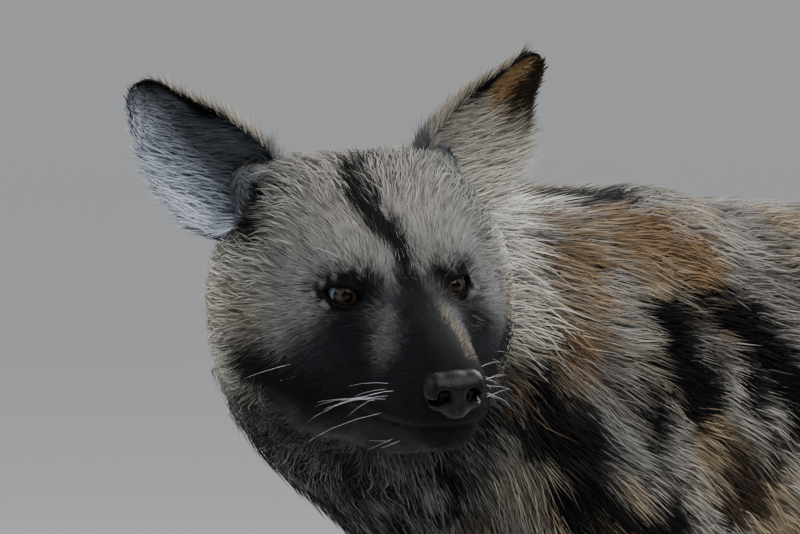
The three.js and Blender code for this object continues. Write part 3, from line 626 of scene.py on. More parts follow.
NARROW = (1, 1, 3)
FACE_MARKS = [  # on both sides or on one, shade, radius, edge, stretch and places
    # dark hollows before the ears
    (True, linear("#4e5257"), 24, 9, ROUND, (-80, 76, 58), (-84, 78, 36)),
    (False, BLACK, 12.5, 7, ROUND, (-60, -58, 47), (-58, -62, 36), (-52, -66, 27)),
    (False, INK, 9, 6, ROUND, (-60, 70, 40), (-58, 74, 30)),
    # the stripe up the brow and the nape
    (False, BLACK, 5.4, 1.8, NARROW, (-68, 8, 64), (-52, -4, 60), (-37, -8, 53)),
    (False, BLACK, 8.4, 1.8, NARROW, (-37, -8, 53), (-21, -7, 43), (-6, -1, 32)),
    (False, BLACK, 6.6, 1.8, NARROW, (-6, -1, 32), (11, 3, 19), (30, 2, 6), (46, 0, 0)),
    (False, BLACK, 20, 4, ROUND, (-150, 0, 10), (-120, 0, 50)),
    # painted light: two pale streaks of sunlit fur that meet beside the muzzle on the left
    (False, BUFF, 2.6, 1.6, ROUND, (44, 14, -3), (66, 17, -13), (86, 15, -22)),
    (False, BUFF, 3.2, 1.8, ROUND, (24, 44, -14), (50, 32, -18), (76, 20, -21)),
]


def head_colour(q):
    x, y, z = q.T
    wild = ragged(q, 2.5, 80)
    flat = np.stack([wild[:, 0], np.abs(wild[:, 1]), wild[:, 2]], axis=1)
    colour = np.tile(GREY, (len(q), 1))
    brow = ramp(z, 5, 45) * (1 - 0.6 * ramp(np.abs(y), 25, 60))
    colour = paint(colour, PALE, 0.9 * brow)
    edge = ramp(-x, 16, 56) * ramp(np.abs(y) - 0.4 * z, 40, 80) * (1 - ramp(z, 20, 50))
    colour = paint(colour, CREAM, edge)
    colour = patch(colour, flat, BUFF, (-38, 84, -10), (-30, 82, -22), radius=8, edge=7)
    # darker towards the muzzle, with a lighter side to it and a near-black bridge, lips and chin
    ahead = 0.8 * wild[:, 0] - 0.6 * (wild[:, 2] + 10)
    colour = paint(colour, mix(SLATE, INK, 0.5), ramp(ahead, -6, 22))
    colour = paint(colour, INK, ramp(ahead, 18, 44))
    colour = patch(colour, flat, mix(SLATE, GREY, 0.4), (40, 20, -6), (56, 25, -20), radius=10, edge=8)
    blotch = ramp(ripple(wild, 26, 82), -0.4, 0.2)[:, None]
    low_cheek = mix(mix(SLATE, BUFF, 0.12), mix(BROWN, INK, 0.5), blotch)
    colour = paint(colour, low_cheek, 1 - ramp(wild[:, 2], -72, -50))
    inky = mix(BLACK, INK, 0.4)
    jowl = ramp(wild[:, 0], -24, 8) * (1 - ramp(wild[:, 2], -68, -52))
    colour = paint(colour, inky, jowl)
    colour = patch(colour, wild, inky, (44, 0, 0), (72, 0, -10), (98, 0, -22), radius=13, edge=8)
    colour = paint(colour, inky, ramp(wild[:, 0] - 0.15 * wild[:, 2], 86, 98))
    lips = ramp(-wild[:, 2], 36, 50) * ramp(wild[:, 0], 24, 44)
    colour = paint(colour, inky, lips)
    band = [(-34, 80, -42), (-10, 66, -50), (8, 50, -58), (34, 36, -64), (66, 22, -64)]
    colour = patch(colour, flat, INK, *band, radius=15, edge=11)
    colour = patch(colour, flat, BLACK, *(np.array(band) - [0, 0, 4]), radius=11, edge=5)
    throat = (1 - ramp(z, -88, -70)) * ramp(x, -60, -30)
    shade = paint(SLATE, BLACK, ramp(ripple(wild, 30, 81), -0.4, 0.2))
    colour = paint(colour, shade, throat)
    # hollows of the eyes, darkest at their inner corners
    colour = patch(colour, flat, INK, (18, 38, -11), (27, 30, -15), (34, 26, -18), radius=10, edge=7)
    colour = patch(colour, flat, INK, (16, 25, 12), (12, 34, 12), (6, 41, 8), radius=6.5, edge=3)
    colour = patch(colour, flat, BLACK, (25, 19, -6), (20, 21, 4), (17, 24, 9), radius=7.5, edge=3)
    for s in SIDES.values():
        along, upward, _, away = across_eye(wild, s)
        lid = (1 - ramp(np.hypot(along / 1.8, upward), 8, 11.5)) * (away < 26)
        colour = paint(colour, BLACK, lid)
    for both, shade, radius, edge, stretch, *places in FACE_MARKS:
        at = flat if both else wild
        colour = patch(colour, at, shade, *places, radius=radius, edge=edge, stretch=stretch)
    return colour


def coat_colour(p):
    colour = body_colour(p)
    near = by_head(p)
    q = to_head(p[near])
    colour[near] = mix(colour[near], head_colour(q), head_share(q)[:, None])
    return colour


# Hide and underfur: one skin from the lips to the tip of the tail, with the claws, nose, eyes and
# ears set in it. What shows is short dense fur, or bare dark skin on the lids and lips.
def add_mesh(name, points, faces, material):
    """A smooth mesh from places in mm and faces of one size, given to the model."""
    points = to_row(points)
    faces = np.asarray(faces)
    mesh = bpy.data.meshes.new(name)
    mesh.vertices.add(len(points))
    mesh.vertices.foreach_set("co", points.ravel())
    mesh.loops.add(faces.size)
    mesh.loops.foreach_set("vertex_index", faces.ravel())
    mesh.polygons.add(len(faces))
    mesh.polygons.foreach_set("loop_start", np.arange(0, faces.size, faces.shape[1]))
    mesh.polygons.foreach_set("use_smooth", np.ones(len(faces), bool))
    mesh.update(calc_edges=True)
    mesh.validate()
    mesh.materials.append(material)
    thing = bpy.data.objects.new(name, mesh)
    bpy.context.scene.collection.objects.link(thing)
    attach(thing, "root")
    return thing


def ring_faces(rows, columns):
    """Quads between rows of places that each run round a ring."""
    index = np.arange(rows * columns).reshape(rows, columns)
    nxt = np.roll(index, -1, axis=1)
    return np.stack([index[:-1], index[1:], nxt[1:], nxt[:-1]], axis=-1).reshape(-1, 4)


def tint(thing, colours):
    """Gives each corner of a mesh the colour of its hair."""
    layer = thing.data.color_attributes.new("Tint", "FLOAT_COLOR", "POINT")
    layer.data.foreach_set("color", np.column_stack([colours, np.ones(len(colours))]).ravel())


def new_material(name, **values):
    material = bpy.data.materials.new(name)
    material.use_nodes = True
    shader = material.node_tree.nodes["Principled BSDF"]
    for socket, value in values.items():
        shader.inputs[socket.replace("_", " ")].default_value = value
    return material, shader


def add_node(material, kind, settings=None, inputs=None, links=None):
    """A shader node with its settings, its input values, and inputs linked from other sockets."""
    node = material.node_tree.nodes.new(kind)
    for key, value in (settings or {}).items():
        setattr(node, key, value)
    for key, value in (inputs or {}).items():
        node.inputs[key].default_value = value
    for key, source in (links or {}).items():
        material.node_tree.links.new(source, node.inputs[key])
    return node


def link(material, source, target):
    material.node_tree.links.new(source, target)


def own_colour(material):
    """The socket that gives each corner's own colour."""
    return add_node(material, "ShaderNodeVertexColor", {"layer_name": "Tint"}).outputs["Color"]


# underfur and short hair over hide: matt, with specks finer than a tuft and no sheen
HAIR_SPECK = 1 / 0.7  # mm
fur, shader = new_material("Underfur", Roughness=0.8, Specular_IOR_Level=0.08)
place = add_node(fur, "ShaderNodeTexCoord")
specks = {"Scale": 1 / (HAIR_SPECK * MM), "Detail": 3}
hairs = add_node(fur, "ShaderNodeTexNoise", inputs=specks, links={"Vector": place.outputs["Object"]})
shaded = add_node(fur, "ShaderNodeMix", {"data_type": "RGBA", "blend_type": "MULTIPLY"}, {"Factor": 0.55})
link(fur, own_colour(fur), shaded.inputs["A"])
link(fur, hairs.outputs["Color"], shaded.inputs["B"])
link(fur, shaded.outputs["Result"], shader.inputs["Base Color"])
relief = {"Strength": 0.6, "Distance": 0.6 * MM}
raised = add_node(fur, "ShaderNodeBump", inputs=relief, links={"Height": hairs.outputs["Fac"]})
link(fur, raised.outputs["Normal"], shader.inputs["Normal"])

grid = [
    spaced(-720, 440, 6, 160, 350, 2),
    spaced(-152, 300, 6, 60, 250, 2),
    spaced(-8, 760, 6, 530, 720, 2),
]
skin = add_mesh("hide", *meshed(underfur, grid, 4), fur)
SKIN_SHADE = 0.85  # the underfur lies in the shade of the guard hair


def refine_lids():
    """Splits the faces round each eye in three and lays the new corners on the lids."""
    edges = bmesh.new()
    edges.from_mesh(skin.data)
    eyes_at = [Vector(to_row(from_head(eye_at(s) + [6, 0, 0]))) for s in SIDES.values()]
    chosen = [e for e in edges.edges if min((e.verts[0].co - at).length for at in eyes_at) < 0.017]
    bmesh.ops.subdivide_edges(edges, edges=chosen, cuts=2, use_grid_fill=True)
    near = [v for v in edges.verts if min((v.co - at).length for at in eyes_at) < 0.018]
    points = np.array([v.co for v in near]) / MM - ROW_SHIFT
    for _ in range(4):
        steps = [(points + 0.3 * axis, points - 0.3 * axis) for axis in np.eye(3)]
        slope = np.stack([underfur(ahead) - underfur(behind) for ahead, behind in steps], axis=1) / 0.6
        steep = np.maximum(np.sum(slope**2, axis=1, keepdims=True), 0.2)
        points = points - np.clip(underfur(points)[:, None] * slope / steep, -1, 1)
    for v, place in zip(near, to_row(points)):
        v.co = place
    edges.to_mesh(skin.data)
    edges.free()
    for polygon in skin.data.polygons:
        polygon.use_smooth = True


refine_lids()
skin_points = np.zeros((len(skin.data.vertices), 3))
skin.data.vertices.foreach_get("co", skin_points.ravel())
skin_points = skin_points / MM - ROW_SHIFT
tint(skin, coat_colour(skin_points) * SKIN_SHADE)
flesh_nodes = ["torso", "neck", "head", "tail"] + [f"{end}leg_{side}" for end, side in legs]
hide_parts(*flesh_nodes)


# Guard hair, as tufts of a few dozen hairs each. The long ones rise from the underfur and bend
# over along the lie of the coat, in clumps whose tips draw together. The short ones lie flat.
class Spread:
    """Places strewn over the skin, so many to a square millimetre."""

    def __init__(self, weight, seed):
        corners = skin_points[skin_faces]
        cross = np.cross(corners[:, 1] - corners[:, 0], corners[:, 2] - corners[:, 0])
        self.draw = np.random.default_rng(seed)
        count = self.draw.poisson(weight(corners.mean(axis=1)) * np.linalg.norm(cross, axis=1) / 2)
        which = np.repeat(np.arange(len(corners)), count)
        shares = self.draw.dirichlet([1, 1, 1], len(which))[..., None]
        self.at = np.sum(corners[which] * shares, axis=1)
        self.out = unit(np.sum(skin_normals[skin_faces[which]] * shares, axis=1))

    def about(self, share):
        """One factor each, from 1 - share to 1 + share."""
        return 1 + share * (2 * self.draw.random(len(self.at)) - 1)


def gathered(roots, tips, size, share):
    """Draws the tips of each clump of about size neighbours together."""
    leads = np.arange(0, len(roots), size)
    tree = KDTree(len(leads))
    for k, lead in enumerate(leads):
        tree.insert(roots[lead], k)
    tree.balance()
    own = leads[[tree.find(root)[1] for root in roots]]
    return mix(tips, tips[own] + 0.45 * (roots - roots[own]), share)


# long smooth hair: a faint sheen along the lie of the coat
hair, shader = new_material("Guard hair", Roughness=0.6, Specular_IOR_Level=0.06)
link(hair, own_colour(hair), shader.inputs["Base Color"])
TRIANGLE = np.array([0, 2 * math.pi / 3, 4 * math.pi / 3])
# painted shade and light along each tuft: darker at the root, deep in the coat, and lighter at the tip
ROOT_PAINTED_SHADE, MIDDLE_PAINTED_SHADE, TIP_PAINTED_LIGHT = 0.78, 0.97, 1.12
TUFT_PATCH = 0.0015  # half the width of a tuft's own patch of the unwrap


def tuft_mesh(name, rings, tips, side, out, width, colour, spots):
    """Tufts as one mesh of closed three-sided cones, shaded as softly as the skin that they cover."""
    points, shades, normals = [], [], []
    for k, (centre, girth) in enumerate(rings):
        for angle in TRIANGLE:
            way = side * math.cos(angle) + out * math.sin(angle) * 0.6
            points.append(centre + way * (width * girth / 2)[:, None])
            shades.append(ROOT_PAINTED_SHADE if k == 0 else MIDDLE_PAINTED_SHADE)
            normals.append(unit(0.8 * out + 0.4 * way))
    points = np.stack(points + [tips], axis=1)
    normals = np.stack(normals + [out], axis=1)
    shades = np.array(shades + [TIP_PAINTED_LIGHT])
    count, each = points.shape[:2]
    faces = [(0, 1, 2)]
    for ring in range(len(rings) - 1):
        for k in range(3):
            a, b = 3 * ring + k, 3 * ring + (k + 1) % 3
            faces += [(a, a + 3, b), (b, a + 3, b + 3)]
    last = 3 * (len(rings) - 1)
    faces += [(last + k, each - 1, last + (k + 1) % 3) for k in range(3)]
    faces = np.array(faces) + each * np.arange(count)[:, None, None]
    thing = add_mesh(name, points.reshape(-1, 3), faces.reshape(-1, 3), hair)
    thing.data.normals_split_custom_set_from_vertices(normals.reshape(-1, 3).tolist())
    shade = colour[:, None] * shades[None, :, None]
    tint(thing, shade.reshape(-1, 3))
    corner = np.array([(-1, -1), (1, -1), (0, 1)] * len(rings) + [(0, 0)]) * TUFT_PATCH
    patches = spots[:, None] + corner[None]
    bake = thing.data.uv_layers.new(name="OFBake")
    bake.data.foreach_set("uv", patches.reshape(-1, 2)[faces.reshape(-1)].ravel())
    return thing


def add_tufts(name, place, length, width, rise, colour, unwrap, clump=0, bent=True, fluff=0.13):
    """Tufts along the lie of the coat: bent ones have a ring half way as well as at the root."""
    roots, out = place.at - 1.5 * place.out, place.out
    lie = lie_of(place.at, out)
    swirl = 0.2 * ripple(place.at, 42, 30) + 0.1 * ripple(place.at, 18, 31)
    lie = lie + np.cross(lie, out) * swirl[:, None] + fluff * place.draw.normal(size=lie.shape)
    lie = unit(lie - out * np.sum(lie * out, axis=1, keepdims=True))
    height = flesh(roots)
    tips = roots + lie * length[:, None]
    tips += out * (height + rise - flesh(tips))[:, None]
    tips[:, 2] = np.maximum(tips[:, 2], 0.5)
    middles = roots + lie * (0.42 * length)[:, None]
    middles += out * (height + 0.85 * rise - flesh(middles))[:, None]
    if clump:
        tips = gathered(roots, tips, clump, 0.42)
        middles = gathered(roots, middles, clump, 0.1)
    rings = [(roots, 0.8), (middles, 1.0)] if bent else [(roots, 1.0)]
    return tuft_mesh(name, rings, tips, unit(np.cross(lie, out)), out, width, colour, unwrap(place.at))


def round_axis(low, high, centre):
    """An unwrap along X and round it, for the neck and trunk."""

    def unwrap(p):
        angle = np.arctan2(p[:, 1] - centre[0], p[:, 2] - centre[1]) / (2 * math.pi) + 0.5
        return np.stack([(p[:, 0] - low) / (high - low), angle], axis=1) * 0.98 + 0.01

    return unwrap


def round_head(p):
    q = to_head(p) - [-30, 0, -15]
    longitude = np.arctan2(q[:, 1], q[:, 0] + 40) / (2 * math.pi) + 0.5
    latitude = np.arctan2(q[:, 2], np.hypot(q[:, 0] + 40, q[:, 1])) / math.pi + 0.5
    return np.stack([longitude, latitude], axis=1) * 0.98 + 0.01


def down_leg(p):
    """Four strips side by side, one for each leg, upright by height."""
    x, y, z = p.T
    middle = np.where(x > -250, -10 + 0 * x, -535 + 0.35 * z)
    angle = np.arctan2(np.abs(y) - 62, x - middle) / (2 * math.pi) + 0.5
    strip = 2 * (x > -250) + (y > 0)
    return np.stack([(strip + angle * 0.98 + 0.01) / 4, z / 500 + 0.005], axis=1)


def down_tail(p):
    angle = np.arctan2(p[:, 1], -p[:, 0] - 660) / (2 * math.pi) + 0.5
    return np.stack([angle, (p[:, 2] - 220) / 420], axis=1) * 0.98 + 0.01


skin_normals = np.zeros((len(skin.data.vertices), 3))
skin.data.vertices.foreach_get("normal", skin_normals.ravel())
skin.data.calc_loop_triangles()
skin_faces = np.zeros((len(skin.data.loop_triangles), 3), np.int32)
skin.data.loop_triangles.foreach_get("vertices", skin_faces.ravel())


def split_up(p):
    """The share of the skin that each part of the coat covers."""
    x, y, z = p.T
    q = to_head(p)
    head = np.where(by_head(p), head_share(q), 0)
    tail = ramp(-x, 612, 630) * (1 - head)
    long = np.maximum(ramp(-q[:, 0], 20, 50) * ramp(q[:, 2], -10, 20), ruff_share(q))
    leg = (1 - ramp(z, 370, 440)) * (1 - tail) * (1 - head)
    rest = (1 - head) * (1 - tail) * (1 - leg)
    front = ramp(x, -190, -110)
    neck = rest * ramp(x, -10, 60) * ramp(z, 430, 480)
    shoulder = rest * front * (1 - ramp(x, -10, 60) * ramp(z, 430, 480))
    left = ramp(y - 0.15 * np.maximum(x, 0), -6, 6)
    return dict(
        ruff=head * long, face=head * (1 - long), tail=tail, leg=leg, flank=rest * (1 - front),
        neck_left=neck * left, neck_right=neck * (1 - left),
        shoulder_left=shoulder * left, shoulder_right=shoulder * (1 - left),
    )


NOSE_AT, NOSE_RADII = np.array([103.0, 0.0, -38.0]), np.array([13.0, 18.0, 14.5])


def bare(p):
    """1 on the lids, lips, nose leather and soles, where no tuft is planted."""
    q = to_head(p)
    gone = 1.0 * (p[:, 2] < 9)
    near = np.linalg.norm(q, axis=1) < 200
    q = q[near]
    spots = np.zeros(len(q))
    for s in SIDES.values():
        along, upward, _, away = across_eye(q, s)
        lids = np.abs(upward) < slit_height(along, upward) + 2.6
        spots[lids & (away < 24) & (np.abs(along) < 14)] = 1
    spots[(np.abs(q[:, 2] - mouth_height(q[:, 0])) < 2.4) & (q[:, 0] > 22)] = 1
    spots[np.linalg.norm((q - NOSE_AT) / (NOSE_RADII + 2.5), axis=1) < 1] = 1
    gone[near] = np.maximum(gone[near], spots)
    return gone


def ticked(place, colour):
    """Hair by hair and lock by lock, a coat's colour varies, and a few hairs are dark."""
    locks = 1 + 0.14 * ripple(place.at, 11, 90) + 0.1 * ripple(place.at, 5, 91)
    dark = np.where(place.draw.random(len(place.at)) < 0.18, 0.42, 1)
    return colour * (locks * dark * place.about(0.27))[:, None]


def coat_piece(name, density, length, width, unwrap, seed, lift=1.0, drift=0.0, **more):
    """One region of the coat, small enough that no piece is too heavy."""
    region = name.replace("_hair", "")
    place = Spread(lambda p: density * split_up(p)[region] * (1 - bare(p)), seed)
    depth = coat_depth(place.at)
    reach = (length[0] + length[1] * depth) * place.about(0.22)
    q = to_head(place.at)
    gap = np.linalg.norm(np.stack([q[:, 0], np.abs(q[:, 1]), q[:, 2]], axis=1) - EAR_BASE, axis=1)
    by_ear = 1 - ramp(gap, 22, 42)
    reach = reach * (1 - 0.35 * by_ear)
    rise = lift * (1 - 0.7 * by_ear) * (1 - UNDERFUR) * depth * place.about(0.45) + 1.4
    rise = np.minimum(rise, 0.8 * reach)
    shown = place.at + place.draw.normal(size=place.at.shape) * 2
    if drift:
        along = lie_of(place.at, place.out) * (drift * reach)[:, None]
        shown += along + place.out * (0.6 * rise)[:, None]
    colour = ticked(place, coat_colour(shown))
    return add_tufts(name, place, reach, width * place.about(0.25), rise, colour, unwrap, **more)


round_neck, round_shoulder = round_axis(-60, 280, (0, 560)), round_axis(-260, 160, (0, 520))
round_flank = round_axis(-640, -100, (0, 540))
COAT = [  # name, slot, tufts to a square mm, length and what the depth adds, width, unwrap, settings
    ("ruff_hair", "neck_coat", 0.41, (10, 1.25), 0.85, round_head, dict(clump=14, fluff=0.26, lift=1.25)),
    ("face_hair", "face_coat", 0.95, (3.5, 1.2), 0.7, round_head, dict(bent=False, fluff=0.18, lift=1.15)),
    ("neck_hair_left", "neck_coat", 0.32, (12, 0.9), 0.85, round_neck, dict(clump=22, drift=0.6)),
    ("neck_hair_right", "neck_coat", 0.2, (12, 0.9), 1.0, round_neck, dict(clump=18, drift=0.6)),
    ("shoulder_hair_left", "trunk_coat", 0.22, (12, 1), 1.0, round_shoulder, dict(clump=20, drift=0.6)),
    ("shoulder_hair_right", "trunk_coat", 0.13, (12, 1), 1.3, round_shoulder, dict(clump=16, drift=0.6)),
    ("flank_hair", "trunk_coat", 0.05, (13, 1), 2.1, round_flank, dict(clump=12)),
    ("tail_hair", "tail_coat", 0.24, (16, 1.2), 2.0, down_tail, dict(clump=12)),
    ("leg_hair", "leg_coat", 0.15, (8, 0.8), 1.6, down_leg, dict(bent=False)),
]
for seed, (name, slot, *measures, settings) in enumerate(COAT, 1):
    coat_piece(name, *measures, seed, **settings)


# Ears: thin round cups of cartilage under short dark hair, on the corners of the skull. Long pale
# hairs fringe the front rim and lie across the hollow.
EAR_ROOT, EAR_TIP = np.array([-84.0, 52.0, 24.0]), np.array([-104.0, 127.0, 112.0])
EAR_MOUTH, EAR_BOW = np.array([0.78, 0.55, 0.1]), np.array([-9.0, 3.0, -1.0])
EAR_RADIUS, EAR_WALL = 33.0, 3.2
EAR_SHADE = 0.75  # painted shade on the skin of the ear under its hair
EAR_HEIGHTS = [0, 0.11, 0.22, 0.33, 0.44, 0.56, 0.67, 0.78, 0.88, 0.95, 0.985, 1]
EAR_GIRTHS = [0, 0.9, 1.08, 1.06, 1, 0.9, 0.77, 0.64, 0.5, 0.36, 0.2, 0]


def ear_sheet(s, along, across, face):
    """Places on an ear: root to tip, front rim round to outer rim, and the back (1) or hollow (-1)."""
    mirror = np.array([1, s, 1])
    root, tip = EAR_ROOT * mirror, EAR_TIP * mirror
    middle = mix(root, tip, 0.55) + EAR_BOW * mirror
    run = spline([root, middle, tip], 24)
    steps = np.linspace(0, 1, len(run))
    slopes = unit(np.gradient(run, axis=0))
    at = np.stack([np.interp(along, steps, run[:, k]) for k in range(3)], axis=-1)
    ahead = unit(np.stack([np.interp(along, steps, slopes[:, k]) for k in range(3)], axis=-1))
    mouth = EAR_MOUTH * mirror
    facing = unit(mouth - ahead * (ahead @ mouth)[..., None])
    side = np.cross(ahead, facing) * s
    ring = np.interp(along, EAR_HEIGHTS, EAR_GIRTHS)
    wide = np.radians(84 - 26 * along)
    angle = wide * across
    thick = EAR_WALL / 2 * (1 - np.abs(across) ** 6) * np.minimum(1, 6 * ring)
    r = np.maximum(EAR_RADIUS * ring + face * thick, 0)
    sideways = side * (r * np.sin(angle))[..., None]
    back = facing * (r * np.cos(angle) - EAR_RADIUS * ring * np.cos(wide))[..., None]
    return from_head(at + sideways - back)


def ear_colour(s, along, across, face):
    """Grey-brown at the back, with a pale front edge. The left hollow is painted sunlit, cream and tan,
    with a painted brown shadow in its cup, the right one is slate in painted shade and paler low down,
    and both have a black rim along the top."""
    spread = np.stack([along * 60, across * 30, face * 9 + 0 * along], axis=-1)
    jitter = 0.06 * ripple(spread.reshape(-1, 3), 9, 95).reshape(along.shape)
    along, across = along + jitter, across + jitter
    if s > 0:
        # painted light: the left hollow sunlit cream and tan, with a painted brown shadow across its cup
        hollow = paint(CREAM, linear("#7f6648"), ramp(along, 0.45, 0.62))
        hollow = paint(hollow, BROWN, ramp(across, 0.1, 0.5) * ramp(along, 0.4, 0.6))
    else:
        # painted shade: the right hollow slate and blue-grey
        hollow = paint(linear("#474c53"), linear("#a0a7b2"), ramp(across, -0.3, 0.6))
        hollow = paint(hollow, SLATE, ramp(along, 0.65, 0.9) * 0.7)
    back = mix(mix(SLATE, GREY, 0.5), BUFF, ramp(along, 0.45, 0.7)[..., None] * 0.7)
    back = paint(back, mix(BUFF, CREAM, 0.5), ramp(-across, 0.4, 0.8) * ramp(along, 0.15, 0.4))
    base = np.where((face > 0)[..., None], back, hollow)
    rim = ramp(-across, 0.62, 0.8) * ramp(along, 0.35, 0.5)
    rim = np.where(face > 0, rim * ramp(-across, 0.86, 0.96), rim)
    rim = np.maximum(rim, ramp(along, 0.9, 0.97))
    return paint(base, BLACK, rim)


def add_ear(name, s):
    rows, columns = 48, 40
    heights = np.linspace(0.001, 0.999, rows)
    along, turnwise = np.meshgrid(heights, np.arange(2 * columns), indexing="ij")
    face = np.where(turnwise < columns, 1, -1)
    across = np.where(face > 0, turnwise, 2 * columns - 1 - turnwise) / (columns - 1) * 2 - 1
    points = ear_sheet(s, along, across, face).reshape(-1, 3)
    index = np.arange(rows * 2 * columns).reshape(rows, -1)
    nxt = np.roll(index, -1, axis=1)
    faces = np.stack([index[:-1], nxt[:-1], nxt[1:], index[1:]], axis=-1).reshape(-1, 4)
    if s > 0:
        faces = faces[:, ::-1]
    shell = add_mesh(f"ear_shell_{name}", points, faces, fur)
    tint(shell, ear_colour(s, along, across, face).reshape(-1, 3) * EAR_SHADE)
    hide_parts(f"ear_{name}")


class EarSpread(Spread):
    """Places strewn over one face of an ear, with the ways out of it, to its tip and round it."""

    def __init__(self, s, count, face, seed):
        self.draw = draw = np.random.default_rng(seed)
        ring = np.interp(np.linspace(0, 1, 50), EAR_HEIGHTS, EAR_GIRTHS)
        shares = np.cumsum(ring) / ring.sum()
        self.along = np.interp(draw.random(count), shares, np.linspace(0.02, 0.98, 50))
        self.across = draw.uniform(-1, 1, count)
        self.at = ear_sheet(s, self.along, self.across, face)
        self.up = unit(ear_sheet(s, self.along + 0.02, self.across, face) - self.at)
        self.round = unit(ear_sheet(s, self.along, self.across + 0.02, face) - self.at)
        self.out = unit(np.cross(self.up, self.round)) * s * face


def ear_hair(name, s, face, count, seed):
    """Long silky hairs out of the hollow (-1), or short dense ones over the back (1)."""
    place = EarSpread(s, count, face, seed)
    outer = ramp(place.across, -0.1, 0.9)
    low = 1 - ramp(place.along, 0.35, 0.75)
    if face < 0:
        lie = place.up + place.round * (0.35 + 0.9 * outer * low)[:, None]
        length = 7 + 9 * low + 9 * low * outer
        lift = 0.3 + 0.25 * low
    else:
        lie = place.up + 0.25 * place.round * np.sign(place.across)[:, None]
        edge = ramp(-place.across, 0.55, 0.9)
        length = 6 + 3 * low + 3 * edge
        lift = 0.3 + 0.35 * edge
    lie = unit(lie + 0.18 * place.draw.normal(size=lie.shape))
    length = length * place.about(0.25)
    roots = place.at - 1.2 * place.out
    tips = roots + lie * length[:, None] + place.out * (length * lift)[:, None]
    middles = mix(roots, tips, 0.45) + place.out * (0.12 * length)[:, None]
    shift = place.draw.normal(size=(2, count)) * 0.025
    seen = ear_colour(s, place.along + shift[0], place.across + shift[1], np.full(count, face))
    colour = ticked(place, seen)
    spots = np.stack([(s > 0) * 0.5 + 0.48 * place.along + 0.01, 0.5 + 0.48 * place.across], axis=1)
    rings = [(roots, 0.8), (middles, 1.0)] if face < 0 else [(roots, 1.0)]
    side = unit(np.cross(lie, place.out))
    width = (0.75 if face < 0 else 0.95) * place.about(0.2)
    tufts = tuft_mesh(name, rings, tips, side, place.out, width, colour, spots)


for name, s in SIDES.items():
    add_ear(name, s)
    ear_hair(f"ear_hollow_hair_{name}", s, -1, 5600, 11 + s)
    ear_hair(f"ear_back_hair_{name}", s, 1, 5000, 15 + s)


# Eyes: wet balls under the lids, with an amber-brown iris, a round pupil and little white. The
# lids hold them. The tear film gives each a small sharp highlight.
eye_skin, shader = new_material("Wet eye", Roughness=0.05, IOR=1.38, Specular_IOR_Level=0.2)
link(eye_skin, own_colour(eye_skin), shader.inputs["Base Color"])
EYE_WHITE, IRIS_RIM = linear("#545c70"), linear("#0a0605")
IRIS, PUPIL = linear("#30271c"), linear("#010101")
LOOK_IN = 10  # degrees that the pupil is turned to the nose from the middle of the opening


def add_eye(name, s):
    columns = 96
    tilts = np.radians(np.concatenate([np.arange(0.5, 50, 1), np.arange(52, 180, 6)]))
    tilt, around = np.meshgrid(tilts, np.arange(columns) * 2 * math.pi / columns, indexing="ij")
    gaze, corner, up = eye_axes(s)
    inward = math.radians(LOOK_IN)
    straight, turned = math.cos(inward), math.sin(inward)
    gaze, corner = gaze * straight - corner * turned, corner * straight + gaze * turned
    bulge = 0.8 * (1 - ramp(np.degrees(tilt), 4, 34))
    radius = EYE_RADIUS - 0.8 + bulge
    ring = corner * np.cos(around)[..., None] + up * np.sin(around)[..., None]
    way = gaze * np.cos(tilt)[..., None] + ring * np.sin(tilt)[..., None]
    points = from_head(way * radius[..., None] + eye_at(s)).reshape(-1, 3)
    faces = ring_faces(*tilt.shape)
    if s > 0:
        faces = faces[:, ::-1]
    ball_mesh = add_mesh(f"eyeball_{name}", points, faces, eye_skin)
    degrees = np.degrees(tilt)
    streak = np.random.default_rng(5).uniform(0.7, 1.25, columns)[None, :, None]
    colour = np.broadcast_to(PUPIL, (*tilt.shape, 3))
    colour = paint(colour, IRIS * streak, ramp(degrees, 16, 18))
    colour = paint(colour, IRIS * 0.55 * streak, ramp(degrees, 25, 35))
    colour = paint(colour, IRIS_RIM, ramp(degrees, 37, 40))
    colour = paint(colour, EYE_WHITE, ramp(degrees, 44, 48))
    tint(ball_mesh, colour.reshape(-1, 3))
    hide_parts(f"eye_{name}")


for name, s in SIDES.items():
    add_eye(name, s)


# Nose: bare black leather with comma-shaped nostrils, a groove down the middle and a pebbled face.
# It is damp, so its pebbles break the light into a soft sheen.
leather, shader = new_material("Nose leather", Roughness=0.38, Specular_IOR_Level=0.1)
shader.inputs["Base Color"].default_value = (*linear("#050608"), 1)
PEBBLE = 1 / 0.9  # mm across
place = add_node(leather, "ShaderNodeTexCoord")
cells = {"Scale": 1 / (PEBBLE * MM)}
pebbles = add_node(leather, "ShaderNodeTexVoronoi", inputs=cells, links={"Vector": place.outputs["Object"]})
relief = {"Strength": 0.5, "Distance": 0.3 * MM}
height = pebbles.outputs["Distance"]
raised = add_node(leather, "ShaderNodeBump", inputs=relief, links={"Height": height})
link(leather, raised.outputs["Normal"], shader.inputs["Normal"])


def nose_field(q):
    pad, foot = ball(NOSE_AT + [-1, 0, 3.5], (12.5, 16.5, 10.5)), ball(NOSE_AT + [1, 0, -7], (10, 9, 7.5))
    d = blend(pad(q), foot(q), 7)
    for s in SIDES.values():
        d = blend(d, ball(NOSE_AT + [2, s * 11, 0.5], (9.5, 7, 8.5))(q), 4)
        d = blend(d, ball(NOSE_AT + [-1, s * 11.5, 7.5], (9, 5.5, 5.5))(q), 4)
    for s in SIDES.values():
        hole = ball(NOSE_AT + [11, s * 8.6, 1], (7.5, 4.3, 4.2))(q)
        slot = ball(NOSE_AT + [6, s * 14.5, -2.5], (8, 6, 1.9))(q)
        d = -blend(-d, blend(hole, slot, 2), 2.4)
    groove = ball(NOSE_AT + [13, 0, -7], (3.2, 1.1, 9))(q)
    return -blend(-d, groove, 1.6)


